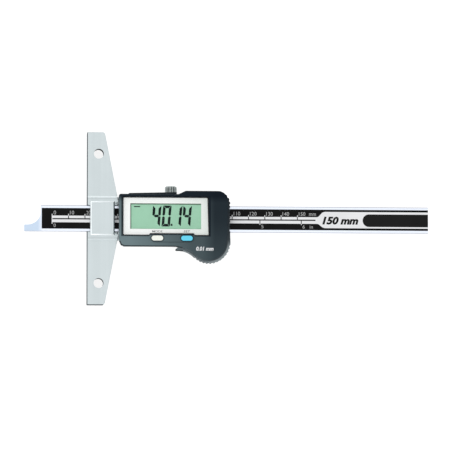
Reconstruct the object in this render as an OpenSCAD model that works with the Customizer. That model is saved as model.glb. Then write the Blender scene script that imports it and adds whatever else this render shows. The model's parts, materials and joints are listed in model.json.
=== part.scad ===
// Digital depth gauge with a 150 mm travel and a 106 mm base.
// +X runs along the beam away from the work, +Y along the base, +Z out of the display.
// The origin is the centre of the measuring face, on the middle plane of the beam.

/* [Beam] */
// Length of the beam
beam_len = 247.4; // [230:0.1:260]
// Width of the beam
beam_w = 16; // [15:0.1:16.6]
// Thickness of the beam
beam_t = 3.6; // [3.2:0.1:4]
// How far the tip stands out of the measuring face at rest
beam_out = 38.2; // [20:0.1:60]
// Length of the narrow measuring tip
tip_len = 10.2; // [8:0.1:14]
// Height of the narrow measuring tip
tip_h = 4.1; // [3:0.1:6]
// Radius of the concave cut behind the tip
tip_r = 8.4; // [5:0.1:9]
// Chamfer along the beam's long edges
beam_edge = 0.3; // [0.1:0.05:0.5]

/* [Scale] */
// Width of the printed film
film_w = 12.5; // [11:0.1:13]
// Thickness of the printed film
film_t = 0.1; // [0.05:0.01:0.2]
// Thickness of the sensing strip under the film
strip_t = 0.45; // [0.3:0.05:0.6]
// How much narrower the strip is on each side
strip_edge = 0.3; // [0.1:0.1:0.6]
// Plain steel left between the tip's cut and the film
film_start = 0.4; // [0.2:0.1:2]
// Depth of the film below the beam's front face
film_sink = 0.05; // [0:0.01:0.1]

/* [Base] */
// Length of the base
base_len = 105.4; // [96:0.1:120]
// Depth of the base at its two ends
base_end_w = 10.8; // [9:0.1:12]
// Depth of the base in the middle
base_mid_w = 18.9; // [18.5:0.1:19]
// Half length of the untapered middle
base_mid_half = 10.6; // [10:0.1:13]
// Corner cut at the outer ends
base_corner = 0.9; // [0.5:0.1:2]
// Distance from the middle plane to the back, on which the gauge lies
back_z = 4; // [3.8:0.1:4.5]
// Distance from the middle plane to the front of the wings
wing_z = 3.7; // [3:0.1:4]
// Distance from the middle plane to the front of the shoulders
shoulder_z = 4.3; // [4:0.1:5]
// Distance from the middle plane to the front of the raised panel
panel_z = 5.5; // [5:0.1:6]
// Half length of the shoulders
shoulder_half = 13.2; // [12.5:0.1:15]
// Half length of the raised panel at its foot
panel_half = 10.5; // [10:0.1:11]
// Width of the raised panel, from the notch to the rear pocket
panel_w = 14.9; // [13:0.1:15.2]
// Chamfer round the raised panel
panel_edge = 0.8; // [0.4:0.1:1.2]
// Depth of the notch in front of the beam
notch_d = 1.8; // [1:0.1:2.4]
// Half length of the pocket behind the raised panel
pocket_half = 9.75; // [9:0.05:10]
// Corner radius of that pocket
pocket_r = 1; // [0.5:0.1:1.5]
// Diameter of the two holes for an extension base
hole_d = 6; // [5:0.1:6.4]
// Distance between the two holes
hole_pitch = 79; // [70:0.5:86]
// Distance of the holes from the measuring face
hole_x = 7; // [6:0.1:7.4]

/* [Slider frame] */
// Half width of the steel channel
frame_half = 13.2; // [12.8:0.1:13.5]
// Thickness of the channel's back wall
frame_back_t = 2; // [1.8:0.1:2.1]
// Height of the rails over the middle plane
rail_z = 2.2; // [2.1:0.05:2.4]
// How far the channel stands out behind the housing
frame_over = 1; // [0.4:0.1:1.6]
// Length of the tongue that the base is screwed to
tongue_len = 10.5; // [9.5:0.1:12]
// Free space between the beam and what guides it
slide_fit = 0.1; // [0.05:0.01:0.15]
// Thickness of the gib strip
gib_t = 0.7; // [0.5:0.05:0.8]
// Height of the gib strip
gib_h = 3.2; // [2.8:0.1:3.4]
// Radius of the gib screws
gib_screw_r = 1; // [0.8:0.05:1.2]
// Distances of the gib screws from the housing's left side
gib_screw_in = [13.9, 50.9];

/* [Lock screw] */
// Distance of the lock screw from the housing's left side
lock_in = 32.1; // [28:0.1:34]
// Diameter of the knob
lock_d = 7.2; // [6:0.1:7.4]
// Height of the knob
knob_h = 6.55; // [5:0.05:8]
// Free space under the knob and round it
knob_fit = 0.35; // [0.3:0.05:0.5]
// Radius of the lock screw's shank
lock_shank_r = 1.45; // [1.2:0.05:1.7]
// Flutes round the knob
lock_flutes = 16; // [12:1:20]
// Radius of a flute
flute_r = 0.45; // [0.3:0.05:0.55]

/* [Housing] */
// Gap between the base and the housing
shell_gap = 0.2; // [0.15:0.05:0.6]
// Length of the housing along the beam
shell_len = 66.5; // [64:0.5:70]
// How far the top edge stands over the channel
shell_over = 1.5; // [1.3:0.1:1.8]
// Height of the hump over the top edge
hump_h = 2.1; // [1.4:0.1:2.6]
// Distance from the lock screw to the start of the hump
hump_gap = 4; // [3.8:0.1:5]
// Length of the slope of the hump
hump_slope = 4.6; // [3:0.1:7]
// How far the lower edge stands under the channel
shell_under = 4.1; // [3.8:0.1:4.6]
// Distance of the grip's round lobe from the housing's right side
lobe_in = 10.9; // [10.6:0.1:12]
// How far the lobe's centre lies under the channel
lobe_under = 1.2; // [1:0.1:1.8]
// How much further left the lobe of the front shell lies
lobe_shift = 1; // [0:0.1:1.2]
// Radius of the front shell's lobe
lobe_r = 11; // [10.8:0.1:11.3]
// Radius of the sweep that leads into the lobe
sweep_r = 22; // [18:1:26]
// Radius of the upper right corner
corner_r = 6; // [4:0.5:8]
// Level at which the two shells meet
part_z = 5.2; // [5:0.1:5.4]
// Front of the housing
front_z = 9.5; // [9.4:0.1:10]
// Width of the rounded front edge
edge_w = 1; // [0.6:0.1:1.1]
// Thickness of the side walls
wall = 1.6; // [1.4:0.1:1.8]

/* [Rear shell] */
// How far the grip stands out round the lobe and the right side
grip_out = 1.7; // [1.4:0.1:1.8]
// Distance from the lock screw to the start of the grip
grip_gap = 2.8; // [1:0.1:5]
// How far the grip starts below the lower edge
grip_drop = 1.9; // [1.4:0.1:2.4]
// Radius of the grip's sweep into the lobe
grip_sweep_r = 14; // [12:1:18]
// Distance between two serrations
serration = 2.2; // [1.6:0.1:3]
// Depth of a serration
serration_d = 0.5; // [0.2:0.05:0.55]
// Back of the lobe, behind the middle plane
lobe_back = 3.4; // [3:0.1:3.8]
// Height of the ledge over the front shell's top edge
ledge_h = 1.5; // [1:0.1:1.8]
// Distances from the ledge's ends to the housing's left side and to the lock screw
ledge_ends = [6.1, 3.3];

/* [Window and display] */
// Distances from the window to the housing's left and right side
win_side = [2.1, 11.3];
// Distances from the window to the housing's lower and top edge
win_edge = [6.5, 1.6];
// How much narrower the window is at its top
win_lean = 0.6; // [0:0.1:1]
// Step of the window's lower side over the keys
win_step = 1; // [0.6:0.1:1.2]
// Corner radius of the window
win_r = 1; // [0.5:0.1:1.2]
// Thickness of the window
win_t = 1; // [0.8:0.1:1.1]
// How deep the window sits in its recess
win_sink = 0.3; // [0.1:0.05:0.4]
// Thickness of the pale frame
bezel_t = 0.8; // [0.6:0.1:0.9]
// Width of the pale frame on the left and the right
frame_side = [4.8, 5.1];
// Width of the pale frame below and above
frame_edge = [4.2, 4.1];
// Thickness of the display glass
lcd_t = 1.7; // [1.5:0.1:1.8]
// Rim of the display glass behind the pale frame
lcd_rim = 1.4; // [1.2:0.1:1.5]

/* [Keys] */
// Distance of the first key from the window's left side
key_in = 21.2; // [19:0.1:23]
// Distance between the two keys
key_pitch = 18; // [15:0.1:20]
// Distance of the keys from the housing's lower edge
key_up = 5; // [4.8:0.1:5.1]
// Length of a key
key_l = 7.1; // [6.5:0.1:8]
// Width of a key
key_w = 3.1; // [2.8:0.1:3.3]
// Free space round a key
key_fit = 0.15; // [0.1:0.05:0.2]
// How far a key stands out of its raised surround
key_out = 0.5; // [0.3:0.1:0.8]
// Travel of a key
key_travel = 0.5; // [0.4:0.05:0.55]
// Height of the raised surround of the keys
surround_h = 0.4; // [0.2:0.1:0.6]
// Width of the raised surround round a key
surround_w = 0.8; // [0.5:0.1:0.9]
// Length and width of a key's switch
switch_size = [4.4, 3.2];

/* [Electronics] */
// Thickness of the circuit board
board_t = 1; // [0.8:0.1:1]
// Distances from the circuit board to the housing's left and right side
board_side = [6, 6.2];
// Distances from the circuit board to the housing's lower and top edge
board_edge = [3.4, 3.5];
// Size of the chip
chip_size = [9, 9, 1]; // [4:0.5:12]
// Distance of the chip from the left side of the display's opening
chip_in = 8; // [4:0.5:20]
// Width of a rubber connector
zebra_w = 1.4; // [1:0.1:1.6]

/* [Battery] */
// Diameter of the button cell
cell_d = 11.6; // [11.4:0.1:11.6]
// Height of the button cell
cell_h = 5.4; // [3:0.1:5.4]
// Wall between the button cell and the channel
cell_wall = 0.6; // [0.5:0.05:0.7]
// Free space round the button cell
cell_fit = 0.2; // [0.15:0.05:0.3]
// Thickness of the battery cover
cover_t = 1; // [0.8:0.1:1.2]
// Distance of the cover's screws from its centre
cover_pitch = 8.2; // [8:0.1:8.6]

/* [Fasteners] */
// Radius of the screws that hold the base
base_screw_r = 1.2; // [1:0.05:1.4]
// How far those screws reach into the base
base_screw_in = 3.2; // [2:0.1:3.6]
// Radius of the screws that hold the housing
shell_screw_r = 0.95; // [0.8:0.05:1]
// Radius of the small screws
small_screw_r = 0.7; // [0.6:0.05:0.8]
// Free space round every screw
screw_fit = 0.05; // [0.03:0.01:0.08]
// Distance from the end stop to the beam's end
stop_margin = 3.6; // [1:0.1:6]
// Length of the end stop along the beam
stop_len = 7; // [6:0.1:8]
// Half width of the end stop
stop_half = 5; // [4:0.1:6]
// Thickness of the end stop
stop_t = 1.4; // [1.2:0.1:1.6]

/* [Hidden] */
$fn = 48;
eps = 0.01;
over = 1;

// Beam and scale
front_face = beam_t / 2;
groove_d = strip_t + film_t + film_sink;
groove_z = front_face - groove_d;
tip_top = tip_h - beam_w / 2;
film_x0 = tip_len - beam_out + film_start;
beam_end = beam_len - beam_out;
stop_x = beam_end - stop_margin - stop_len;
stop_screw_l = stop_t + 1.8;

// Slot and channel that guide the beam
slot_z = front_face + slide_fit + 0.05;
slot_half = beam_w / 2 + slide_fit;
floor_z = -back_z + frame_back_t;
gib_gap = 0.1;
upper_rail_y = slot_half + gib_t + gib_gap;
tongue_x = base_mid_w - tongue_len;
joint_fit = 0.05;
frame_x = base_mid_w + joint_fit;

// Edges of the housing
shell_left = base_mid_w + shell_gap;
shell_right = shell_left + shell_len;
shell_top = frame_half + shell_over;
shell_low = -frame_half - shell_under;
skirt = frame_half + 0.2;
frame_end = shell_right + frame_over;
gib_screw_x = [for (d = gib_screw_in) shell_left + d];
lock_x = shell_left + lock_in;
lock_head = frame_half + knob_fit;
lock_top = lock_head + knob_h;
hump_top = shell_top + hump_h;
hump_x = [lock_x + hump_gap, lock_x + hump_gap + hump_slope];
lobe_x = shell_right - lobe_in;
lobe_y = -frame_half - lobe_under;
grip_r = lobe_r + grip_out;
grip_right = shell_right + grip_out;
grip_corner = corner_r + grip_out;
grip_x = lock_x + grip_gap;
grip_low = shell_low - grip_drop;
ledge_top = shell_top + ledge_h;
ledge_x = [shell_left + ledge_ends[0], lock_x + ledge_ends[1]];

// Window, display opening, keys and circuit board
win_left = shell_left + win_side[0];
win_right = shell_right - win_side[1];
win_low = shell_low + win_edge[0];
win_top = shell_top - win_edge[1];
win_low_keys = win_low + win_step;
view_x = [win_left + frame_side[0], win_right - frame_side[1]];
view_y = [win_low + frame_edge[0], win_top - frame_edge[1]];
key_x = [win_left + key_in, win_left + key_in + key_pitch];
key_y = shell_low + key_up;
board_x = [shell_left + board_side[0], shell_right - board_side[1]];
board_y = [shell_low + board_edge[0], shell_top - board_edge[1]];

// Screws
base_screw_y = (slot_half + frame_half) / 2;
base_screw_x = [tongue_x + 2.7, base_mid_w - 2.6];
shell_screw_y = (upper_rail_y + frame_half) / 2;
shell_screw_x = [shell_left + 3.1, shell_right - 2.8];
shell_screw_l = back_z + part_z + 1.4;
base_screw_l = frame_back_t + base_screw_in;
boss_r = 1.9;
head_ratio = 1.8;

// Levels of the display, from the front to the back
win_z = front_z - win_sink - win_t;
glue_t = 0.1;
seat_z = win_z - glue_t;
bezel_z = seat_z - bezel_t;
lcd_z = bezel_z - 0.1 - lcd_t;
board_top = rail_z + board_t;

// Levels of the keys
roof_z = front_z - wall;
flange_t = 0.6;
flange_gap = 0.2;
flange_out = 0.5;
flange_z = roof_z - flange_gap - flange_t;
key_top = front_z + surround_h + key_out;
switch_gap = 0.1;
switch_top = board_top + 1.4;

// Levels of the battery
cover_top = cover_t - lobe_back;
plug_h = 1.5;
cell_z = cover_top + plug_h + 0.3;
cell_top = cell_z + cell_h;
cell_x = lobe_x;
cell_y = -skirt - cell_wall - cell_fit - cell_d / 2;
contact_t = 0.15;
contact_w = 2;
cover_screw_l = cover_t + 2.2;
plug_r = cell_d / 2 + cell_fit - 0.15;
seal_r = 0.45;
seal_mid = cell_d / 2 + cell_fit - seal_r - 0.05;

// Points of an arc round (x, y), from angle a to angle b
function arc(x, y, r, a, b, n, first = 0) =
    [for (i = [first : n]) let (t = a + (b - a) * i / n) [x + r * cos(t), y + r * sin(t)]];

// A closed outline moved inwards by d; the points run anticlockwise
function side_normal(p, q) = let (v = q - p) [-v[1], v[0]] / norm(v);
function inset(p, d) = let (n = len(p)) [
    for (i = [0 : n - 1])
        let (m = side_normal(p[(i + n - 1) % n], p[i]), k = side_normal(p[i], p[(i + 1) % n]))
            p[i] + d * (m + k) / (1 + m * k)
];

// How far left of the lobe's centre a concave sweep of radius s starts, on the level y
function sweep_start(y, s, r) = sqrt(pow(r + s, 2) - pow(lobe_y - (y - s), 2));
function sweep_angle(y, s, r) = atan2(lobe_y - (y - s), sweep_start(y, s, r));

// Outline of a shell's lower right: sweep, lobe and right side up to the upper right corner
function lobe_side(x, y, s, r, right, top, corner) = let (a = sweep_angle(y, s, r)) concat(
    arc(x - sweep_start(y, s, r), y - s, s, 90, a, 8),
    arc(x, lobe_y, r, a + 180, 360, 20, 1),
    [[right - 0.1, lobe_y + 5]],
    arc(right - corner, top - corner, corner, 0, 90, 8)
);

// Outline of the front shell, with its upper left corner in n steps
function shell_outline(n) = concat(
    [[shell_left + 0.2, shell_low + 3.2], [shell_left + 1.3, shell_low + 0.8], [shell_left + 3.6, shell_low]],
    lobe_side(lobe_x - lobe_shift, shell_low, sweep_r, lobe_r, shell_right, hump_top, corner_r),
    [[hump_x[1], hump_top], [hump_x[0] + 0.9, shell_top + 0.35], [hump_x[0], shell_top]],
    arc(shell_left + 1.2, shell_top - 1.2, 1.2, 90, 180, n)
);
front_outline = shell_outline(4);
room_outline = shell_outline(1);

// Outline of the rear shell's grip, which stands out of the front shell
grip_outline = concat(
    [[grip_x, grip_low + 0.6], [grip_x + 0.6, grip_low]],
    lobe_side(lobe_x, grip_low, grip_sweep_r, grip_r, grip_right, hump_top, grip_corner),
    [[hump_x[1] + 4, hump_top - 0.6], [grip_x + 4, lobe_y]]
);

// Outline of the window, moved inwards by d
window_outline = concat(
    arc(win_left + win_r, win_low + win_r, win_r, 180, 270, 4),
    [[key_x[0] - key_l / 2 - 1.2, win_low], [key_x[0] - key_l / 2 - 0.4, win_low_keys]],
    [[key_x[1] + key_l / 2 + 0.4, win_low_keys], [key_x[1] + key_l / 2 + 1.2, win_low]],
    arc(win_right - win_r, win_low + win_r, win_r, 270, 360, 4),
    arc(win_right - win_lean - win_r, win_top - win_r, win_r, 0, 90, 4),
    arc(win_left + win_r, win_top - win_r, win_r, 90, 180, 4)
);

// Countersunk screw with its head down at z = 0 and its point at z = l
module screw(r, l) {
    head_h = r * (head_ratio - 1);
    difference() {
        rotate_extrude()
            polygon([[0, 0], [head_ratio * r, 0], [r, head_h], [r, l], [0, l]]);
        translate([-2 * r, -0.2 * r, -over])
            cube([4 * r, 0.4 * r, over + 0.5 * head_h]);
    }
}

// Room for that screw
module screw_hole(r, l) {
    w = r + screw_fit;
    head_h = r * (head_ratio - 1);
    rotate_extrude()
        polygon([
            [0, -over], [head_ratio * r + screw_fit, -over], [head_ratio * r + screw_fit, 0],
            [w, head_h], [w, l + screw_fit], [0, l + screw_fit]
        ]);
}

// Places of the screws, seen from the back
module at_base_screws()
    for (x = base_screw_x, s = [-1, 1])
        translate([x, s * base_screw_y, -back_z])
            children();
module at_shell_screws()
    for (x = shell_screw_x, s = [-1, 1])
        translate([x, s * shell_screw_y, -back_z])
            children();
module at_cover_screws()
    for (s = [-1, 1])
        translate([cell_x + s * cover_pitch, cell_y, -lobe_back])
            children();
module at_stop_screws()
    for (s = [-1, 1])
        translate([stop_x + stop_len / 2, s * stop_half * 0.56, -front_face - stop_t])
            children();

// Beam and scale
module tip_cut() {
    x = tip_len - beam_out - tip_r;
    y = tip_top + tip_r;
    translate([x, y])
        circle(tip_r);
    translate([-beam_out - over, tip_top])
        square([x + beam_out + over, beam_w]);
    translate([-beam_out - over, y])
        square([tip_len + over, beam_w]);
}

module beam() {
    h = beam_w / 2;
    f = front_face;
    e = beam_edge;
    color([0.85, 0.89, 0.92])
    difference() {
        translate([-beam_out, 0, 0])
            rotate([90, 0, 90])
                linear_extrude(beam_len)
                    polygon([
                        [-h, e - f], [e - h, -f], [h - e, -f], [h, e - f],
                        [h, f - e], [h - e, f], [e - h, f], [-h, f - e]
                    ]);
        translate([0, 0, -beam_t])
            linear_extrude(2 * beam_t)
                tip_cut();
        translate([film_x0, -film_w / 2 - joint_fit, groove_z])
            cube([beam_len, film_w + 2 * joint_fit, beam_t]);
        at_stop_screws()
            screw_hole(small_screw_r, stop_screw_l);
    }
}

module scale_strip() {
    x = film_x0 + joint_fit;
    w = film_w - 2 * strip_edge;
    color([0.3, 0.42, 0.22])
        translate([x, -w / 2, groove_z])
            cube([beam_end - x, w, strip_t]);
}

module scale_film() {
    x = film_x0 + joint_fit;
    color([0.1, 0.1, 0.1])
        translate([x, -film_w / 2, groove_z + strip_t])
            cube([beam_end - x, film_w, film_t]);
}

module end_stop() {
    color([0.75, 0.77, 0.79])
    difference() {
        translate([stop_x, -stop_half, -front_face - stop_t])
            cube([stop_len, 2 * stop_half, stop_t]);
        at_stop_screws()
            screw_hole(small_screw_r, stop_screw_l);
    }
}

module end_stop_screws()
    color([0.6, 0.62, 0.64])
        at_stop_screws()
            screw(small_screw_r, stop_screw_l);

// Base
module base_outline() {
    l = base_len / 2;
    side = [[base_end_w - base_corner, l], [base_end_w, l - base_corner], [base_mid_w, base_mid_half]];
    polygon(concat(
        [[0, -l]],
        [for (p = side) [p[0], -p[1]]],
        [for (i = [2 : -1 : 0]) side[i]],
        [[0, l]]
    ));
}

// A block with its front edges chamfered, lying between two corners
module chamfered_block(low, high, edge) {
    size = high - low;
    intersection() {
        translate([low[0], 0, low[2]])
            rotate([90, 0, 90])
                linear_extrude(size[0])
                    polygon([
                        [low[1], 0], [high[1], 0], [high[1], size[2] - edge],
                        [high[1] - edge, size[2]], [low[1] + edge, size[2]], [low[1], size[2] - edge]
                    ]);
        translate([0, high[1], low[2]])
            rotate([90, 0, 0])
                linear_extrude(size[1])
                    polygon([
                        [low[0], 0], [high[0], 0], [high[0], size[2] - edge],
                        [high[0] - edge, size[2]], [low[0] + edge, size[2]], [low[0], size[2] - edge]
                    ]);
    }
}

module base() {
    panel_x1 = notch_d + panel_w;
    color([0.81, 0.85, 0.86])
    difference() {
        union() {
            translate([0, 0, -back_z])
                linear_extrude(back_z + wing_z)
                    base_outline();
            linear_extrude(shoulder_z)
                intersection() {
                    base_outline();
                    translate([0, -shoulder_half])
                        square([base_mid_w, 2 * shoulder_half]);
                }
            chamfered_block(
                [notch_d, -panel_half, wing_z - over], [panel_x1, panel_half, panel_z], panel_edge);
        }
        // Slot for the beam, and the notch in front of it
        translate([-over, -slot_half, floor_z - eps])
            cube([base_mid_w + 2 * over, 2 * slot_half, slot_z - floor_z + eps]);
        translate([-over, -slot_half, 0])
            cube([notch_d + over, 2 * slot_half, panel_z]);
        // Pocket behind the raised panel
        translate([0, 0, 0])
            linear_extrude(panel_z)
                pocket_plan(panel_x1);
        // Seat of the channel's tongue
        translate([tongue_x, -frame_half - joint_fit, -back_z - over])
            cube([base_mid_w, 2 * (frame_half + joint_fit), over + frame_back_t]);
        at_base_screws()
            screw_hole(base_screw_r, base_screw_l);
        for (s = [-1, 1])
            translate([hole_x, s * hole_pitch / 2, -back_z - over])
                cylinder(h = back_z + wing_z + 2 * over, d = hole_d);
    }
}

// The pocket shows the beam and a narrow ledge on each side of it
module pocket_plan(x) {
    translate([x + pocket_r, -pocket_half])
        square([base_mid_w, 2 * pocket_half]);
    translate([x, pocket_r - pocket_half])
        square([base_mid_w, 2 * (pocket_half - pocket_r)]);
    for (s = [-1, 1])
        translate([x + pocket_r, s * (pocket_half - pocket_r)])
            circle(pocket_r);
}

module base_screws()
    color([0.6, 0.62, 0.64])
        at_base_screws()
            screw(base_screw_r, base_screw_l);

// Channel that guides the beam
module slider_frame() {
    h = frame_half;
    c = 0.5;
    color([0.78, 0.8, 0.82])
    difference() {
        union() {
            translate([frame_x, 0, 0])
                rotate([90, 0, 90])
                    linear_extrude(frame_end - frame_x)
                        polygon([
                            [-h, c - back_z], [c - h, -back_z], [h - c, -back_z], [h, c - back_z],
                            [h, rail_z], [upper_rail_y, rail_z], [upper_rail_y, floor_z],
                            [-slot_half, floor_z], [-slot_half, rail_z], [-h, rail_z]
                        ]);
            translate([tongue_x + joint_fit, -h, -back_z])
                cube([tongue_len, 2 * h, frame_back_t]);
        }
        at_base_screws()
            screw_hole(base_screw_r, base_screw_l);
        at_shell_screws()
            screw_hole(shell_screw_r, shell_screw_l);
        for (x = gib_screw_x)
            translate([x, upper_rail_y - over, 0])
                rotate([-90, 0, 0])
                    cylinder(h = h, r = gib_screw_r + screw_fit);
        translate([lock_x, upper_rail_y - over, 0])
            rotate([-90, 0, 0])
                cylinder(h = h, r = lock_shank_r + screw_fit);
    }
}

module gib_strip()
    color([0.75, 0.6, 0.35])
        translate([frame_x + 1.5, slot_half, -gib_h / 2])
            cube([frame_end - frame_x - 3, gib_t, gib_h]);

module gib_screws()
    color([0.3, 0.31, 0.33])
        for (x = gib_screw_x)
            translate([x, slot_half + gib_t + 0.02, 0])
                rotate([-90, 0, 0])
                    difference() {
                        cylinder(h = frame_half - slot_half - gib_t - 0.6, r = gib_screw_r);
                        translate([0, 0, frame_half - slot_half - gib_t - 1.4])
                            cylinder(h = over, r = gib_screw_r * 0.5, $fn = 6);
                    }

// Lock screw, which presses on the gib strip
module lock_screw() {
    tip = slot_half + gib_t + 0.05;
    head = lock_head;
    r = lock_d / 2;
    c = 0.7;
    color([0.62, 0.65, 0.65])
    translate([lock_x, 0, 0])
        rotate([-90, 0, 0])
            difference() {
                rotate_extrude()
                    polygon([
                        [0, tip], [lock_shank_r - 0.3, tip], [lock_shank_r, tip + 0.3],
                        [lock_shank_r, head], [r - c, head], [r, head + c],
                        [r, lock_top - c], [r - c, lock_top], [0, lock_top]
                    ]);
                for (i = [0 : lock_flutes - 1])
                    rotate([0, 0, i * 360 / lock_flutes])
                        translate([r + 0.1, 0, head - over])
                            cylinder(h = lock_top - head + 2 * over, r = flute_r, $fn = 16);
            }
}

// Room inside both shells, with the screw bosses left standing
module interior_plan() {
    difference() {
        polygon(inset(room_outline, wall + 0.3));
        for (x = shell_screw_x, s = [-1, 1])
            translate([x, s * shell_screw_y])
                circle(boss_r);
    }
}

// Serrations round the lobe and up the right side
module serrations() {
    step = serration / grip_r * 180 / PI;
    start = sweep_angle(grip_low, grip_sweep_r, grip_r) + 180;
    depth = serration / 2 - serration_d;
    for (a = [start + step / 2 : step : 356])
        translate([lobe_x + (grip_r + depth) * cos(a), lobe_y + (grip_r + depth) * sin(a)])
            circle(serration / 2, $fn = 16);
    for (y = [lobe_y + 7.5 : serration : hump_top - grip_corner])
        translate([grip_right + depth, y])
            circle(serration / 2, $fn = 16);
    for (a = [15, 35, 55])
        translate([
            grip_right - grip_corner + (grip_corner + depth) * cos(a),
            hump_top - grip_corner + (grip_corner + depth) * sin(a)
        ])
            circle(serration / 2, $fn = 16);
}

module grip_plan() {
    difference() {
        polygon(grip_outline);
        serrations();
    }
}

module ledge_plan()
    polygon([
        [ledge_x[0], 0], [ledge_x[1], 0], [ledge_x[1], ledge_top],
        [ledge_x[0] + 0.3, ledge_top - 0.7], [ledge_x[0], ledge_top - 1]
    ]);

module cover_plan(fit) {
    circle(cell_d / 2 + 0.5 + fit);
    square([2 * cover_pitch, 2 * (boss_r + fit)], center = true);
    for (s = [-1, 1])
        translate([s * cover_pitch, 0])
            circle(boss_r + fit);
}

module rear_shell() {
    skirt_z = 1;
    floor_t = 1;
    gasket_h = 0.3;
    color([0.13, 0.16, 0.19])
    difference() {
        union() {
            translate([0, 0, rail_z])
                linear_extrude(part_z - rail_z) {
                    polygon(inset(front_outline, 0.3));
                    grip_plan();
                    ledge_plan();
                }
            // Lobe with the battery, beside the channel
            translate([0, 0, -lobe_back])
                linear_extrude(lobe_back + rail_z + eps)
                    intersection() {
                        grip_plan();
                        translate([grip_x, -skirt - 2 * grip_r])
                            square([4 * grip_r, 2 * grip_r]);
                    }
            // Skirts that cover the channel's long sides
            translate([0, 0, -skirt_z])
                linear_extrude(skirt_z + rail_z + eps) {
                    translate([shell_left + 3, shell_low + 0.5])
                        square([grip_x - shell_left + 4, -skirt - shell_low - 0.5]);
                    intersection() {
                        ledge_plan();
                        translate([0, skirt])
                            square([lock_x - lock_d / 2 - 1, ledge_top]);
                    }
                }
        }
        translate([0, 0, rail_z + floor_t])
            linear_extrude(part_z)
                interior_plan();
        translate([board_x[0] - 0.2, board_y[0] - 0.2, rail_z - over])
            cube([board_x[1] - board_x[0] + 0.4, board_y[1] - board_y[0] + 0.4, over + floor_t + eps]);
        // Groove of the gasket
        translate([0, 0, part_z - gasket_h])
            linear_extrude(over)
                gasket_plan(0.05);
        // Room for the knob
        translate([lock_x, frame_half, 0])
            rotate([-90, 0, 0])
                cylinder(h = lock_top, r = lock_d / 2 + knob_fit);
        // Battery, its cover and its contacts
        translate([cell_x, cell_y, 0]) {
            translate([0, 0, -lobe_back - over])
                cylinder(h = lobe_back + over + cell_top + 0.05, r = cell_d / 2 + cell_fit);
            translate([0, 0, -lobe_back - over])
                linear_extrude(over + cover_t)
                    cover_plan(joint_fit);
            translate([-contact_w / 2 - 0.2, cell_d / 2, 0])
                cube([contact_w + 0.4, 0.5, part_z]);
        }
        at_cover_screws()
            screw_hole(small_screw_r, cover_screw_l);
        at_shell_screws()
            screw_hole(shell_screw_r, shell_screw_l + 0.2);
    }
}

module gasket_plan(fit) {
    difference() {
        polygon(inset(room_outline, 0.8 - fit));
        polygon(inset(room_outline, 1.4 + fit));
    }
}

module shell_gasket()
    color([0.2, 0.2, 0.2])
        translate([0, 0, part_z - 0.3])
            linear_extrude(0.3)
                gasket_plan(0);

// Front shell: the outline lofted to a rounded front edge, then cut level below and above
module shell_skin() {
    edge_h = 1.3;
    steps = 4;
    levels = concat(
        [[part_z - over, 0]],
        [for (i = [0 : steps]) let (t = 90 * i / steps)
            [front_z - edge_h * (1 - sin(t)), edge_w * (1 - cos(t))]],
        [[front_z + over, edge_w + 0.1]]
    );
    rings = [for (v = levels) [for (p = inset(front_outline, v[1])) [p[0], p[1], v[0]]]];
    n = len(front_outline);
    m = len(rings);
    difference() {
        polyhedron(
            points = [for (ring = rings) each ring],
            faces = concat(
                [[for (i = [0 : n - 1]) i]],
                [for (k = [0 : m - 2], i = [0 : n - 1]) let (j = (i + 1) % n)
                    [k * n + i, k * n + n + i, k * n + n + j, k * n + j]],
                [[for (i = [n - 1 : -1 : 0]) (m - 1) * n + i]]
            )
        );
        translate([0, -50, part_z - 3 * over])
            cube([100, 100, 3 * over]);
        translate([0, -50, front_z])
            cube([100, 100, 3 * over]);
    }
}

// A capsule, as the keys have it
module key_plan(grow) {
    r = key_w / 2 + grow;
    square([key_l - key_w, 2 * r], center = true);
    for (s = [-1, 1])
        translate([s * (key_l - key_w) / 2, 0])
            circle(r);
}

module front_shell() {
    pocket_grow = flange_out + 0.25;
    slope_x = win_right + 1.2;
    slope = atan2(1.4, shell_right - slope_x);
    color([0.24, 0.29, 0.32])
    difference() {
        union() {
            difference() {
                shell_skin();
                // The face falls away to the right of the window and down the lobe
                translate([slope_x, -shell_len, front_z])
                    rotate([0, slope, 0])
                        cube([shell_len, 2 * shell_len, front_z]);
                translate([0, lobe_y - 1, front_z])
                    rotate([8, 0, 0])
                        translate([0, -shell_len, 0])
                            cube([2 * shell_len, shell_len, front_z]);
            }
            // Raised surround of the keys
            translate([(key_x[0] + key_x[1]) / 2, key_y, front_z - 1])
                linear_extrude(1 + surround_h)
                    surround_plan();
        }
        translate([0, 0, part_z - over])
            linear_extrude(over + 1.1)
                interior_plan();
        translate([view_x[0] - lcd_rim - 0.2, view_y[0] - lcd_rim - 0.2, part_z - over])
            cube([
                view_x[1] - view_x[0] + 2 * lcd_rim + 0.4,
                view_y[1] - view_y[0] + 2 * lcd_rim + 0.4,
                bezel_z - part_z + over + eps
            ]);
        translate([0, 0, bezel_z])
            linear_extrude(bezel_t + eps)
                polygon(inset(window_outline, 0.6));
        translate([0, 0, seat_z])
            linear_extrude(5)
                polygon(window_outline);
        for (x = key_x)
            translate([x, key_y, 0]) {
                translate([0, 0, part_z - over])
                    linear_extrude(roof_z - part_z + over)
                        key_plan(pocket_grow);
                linear_extrude(20)
                    key_plan(key_fit);
            }
        at_shell_screws()
            screw_hole(shell_screw_r, shell_screw_l + 0.2);
    }
}

module surround_plan() {
    l = (key_pitch + key_l - key_w) / 2;
    r = key_w / 2 + surround_w;
    square([2 * l, 2 * r], center = true);
    for (s = [-1, 1])
        translate([s * l, 0])
            circle(r);
}

module shell_screws()
    color([0.6, 0.62, 0.64])
        at_shell_screws()
            screw(shell_screw_r, shell_screw_l);

// Window and display
module window()
    color([0.85, 0.9, 0.9, 0.35])
        translate([0, 0, win_z])
            linear_extrude(win_t)
                polygon(inset(window_outline, joint_fit));

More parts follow.
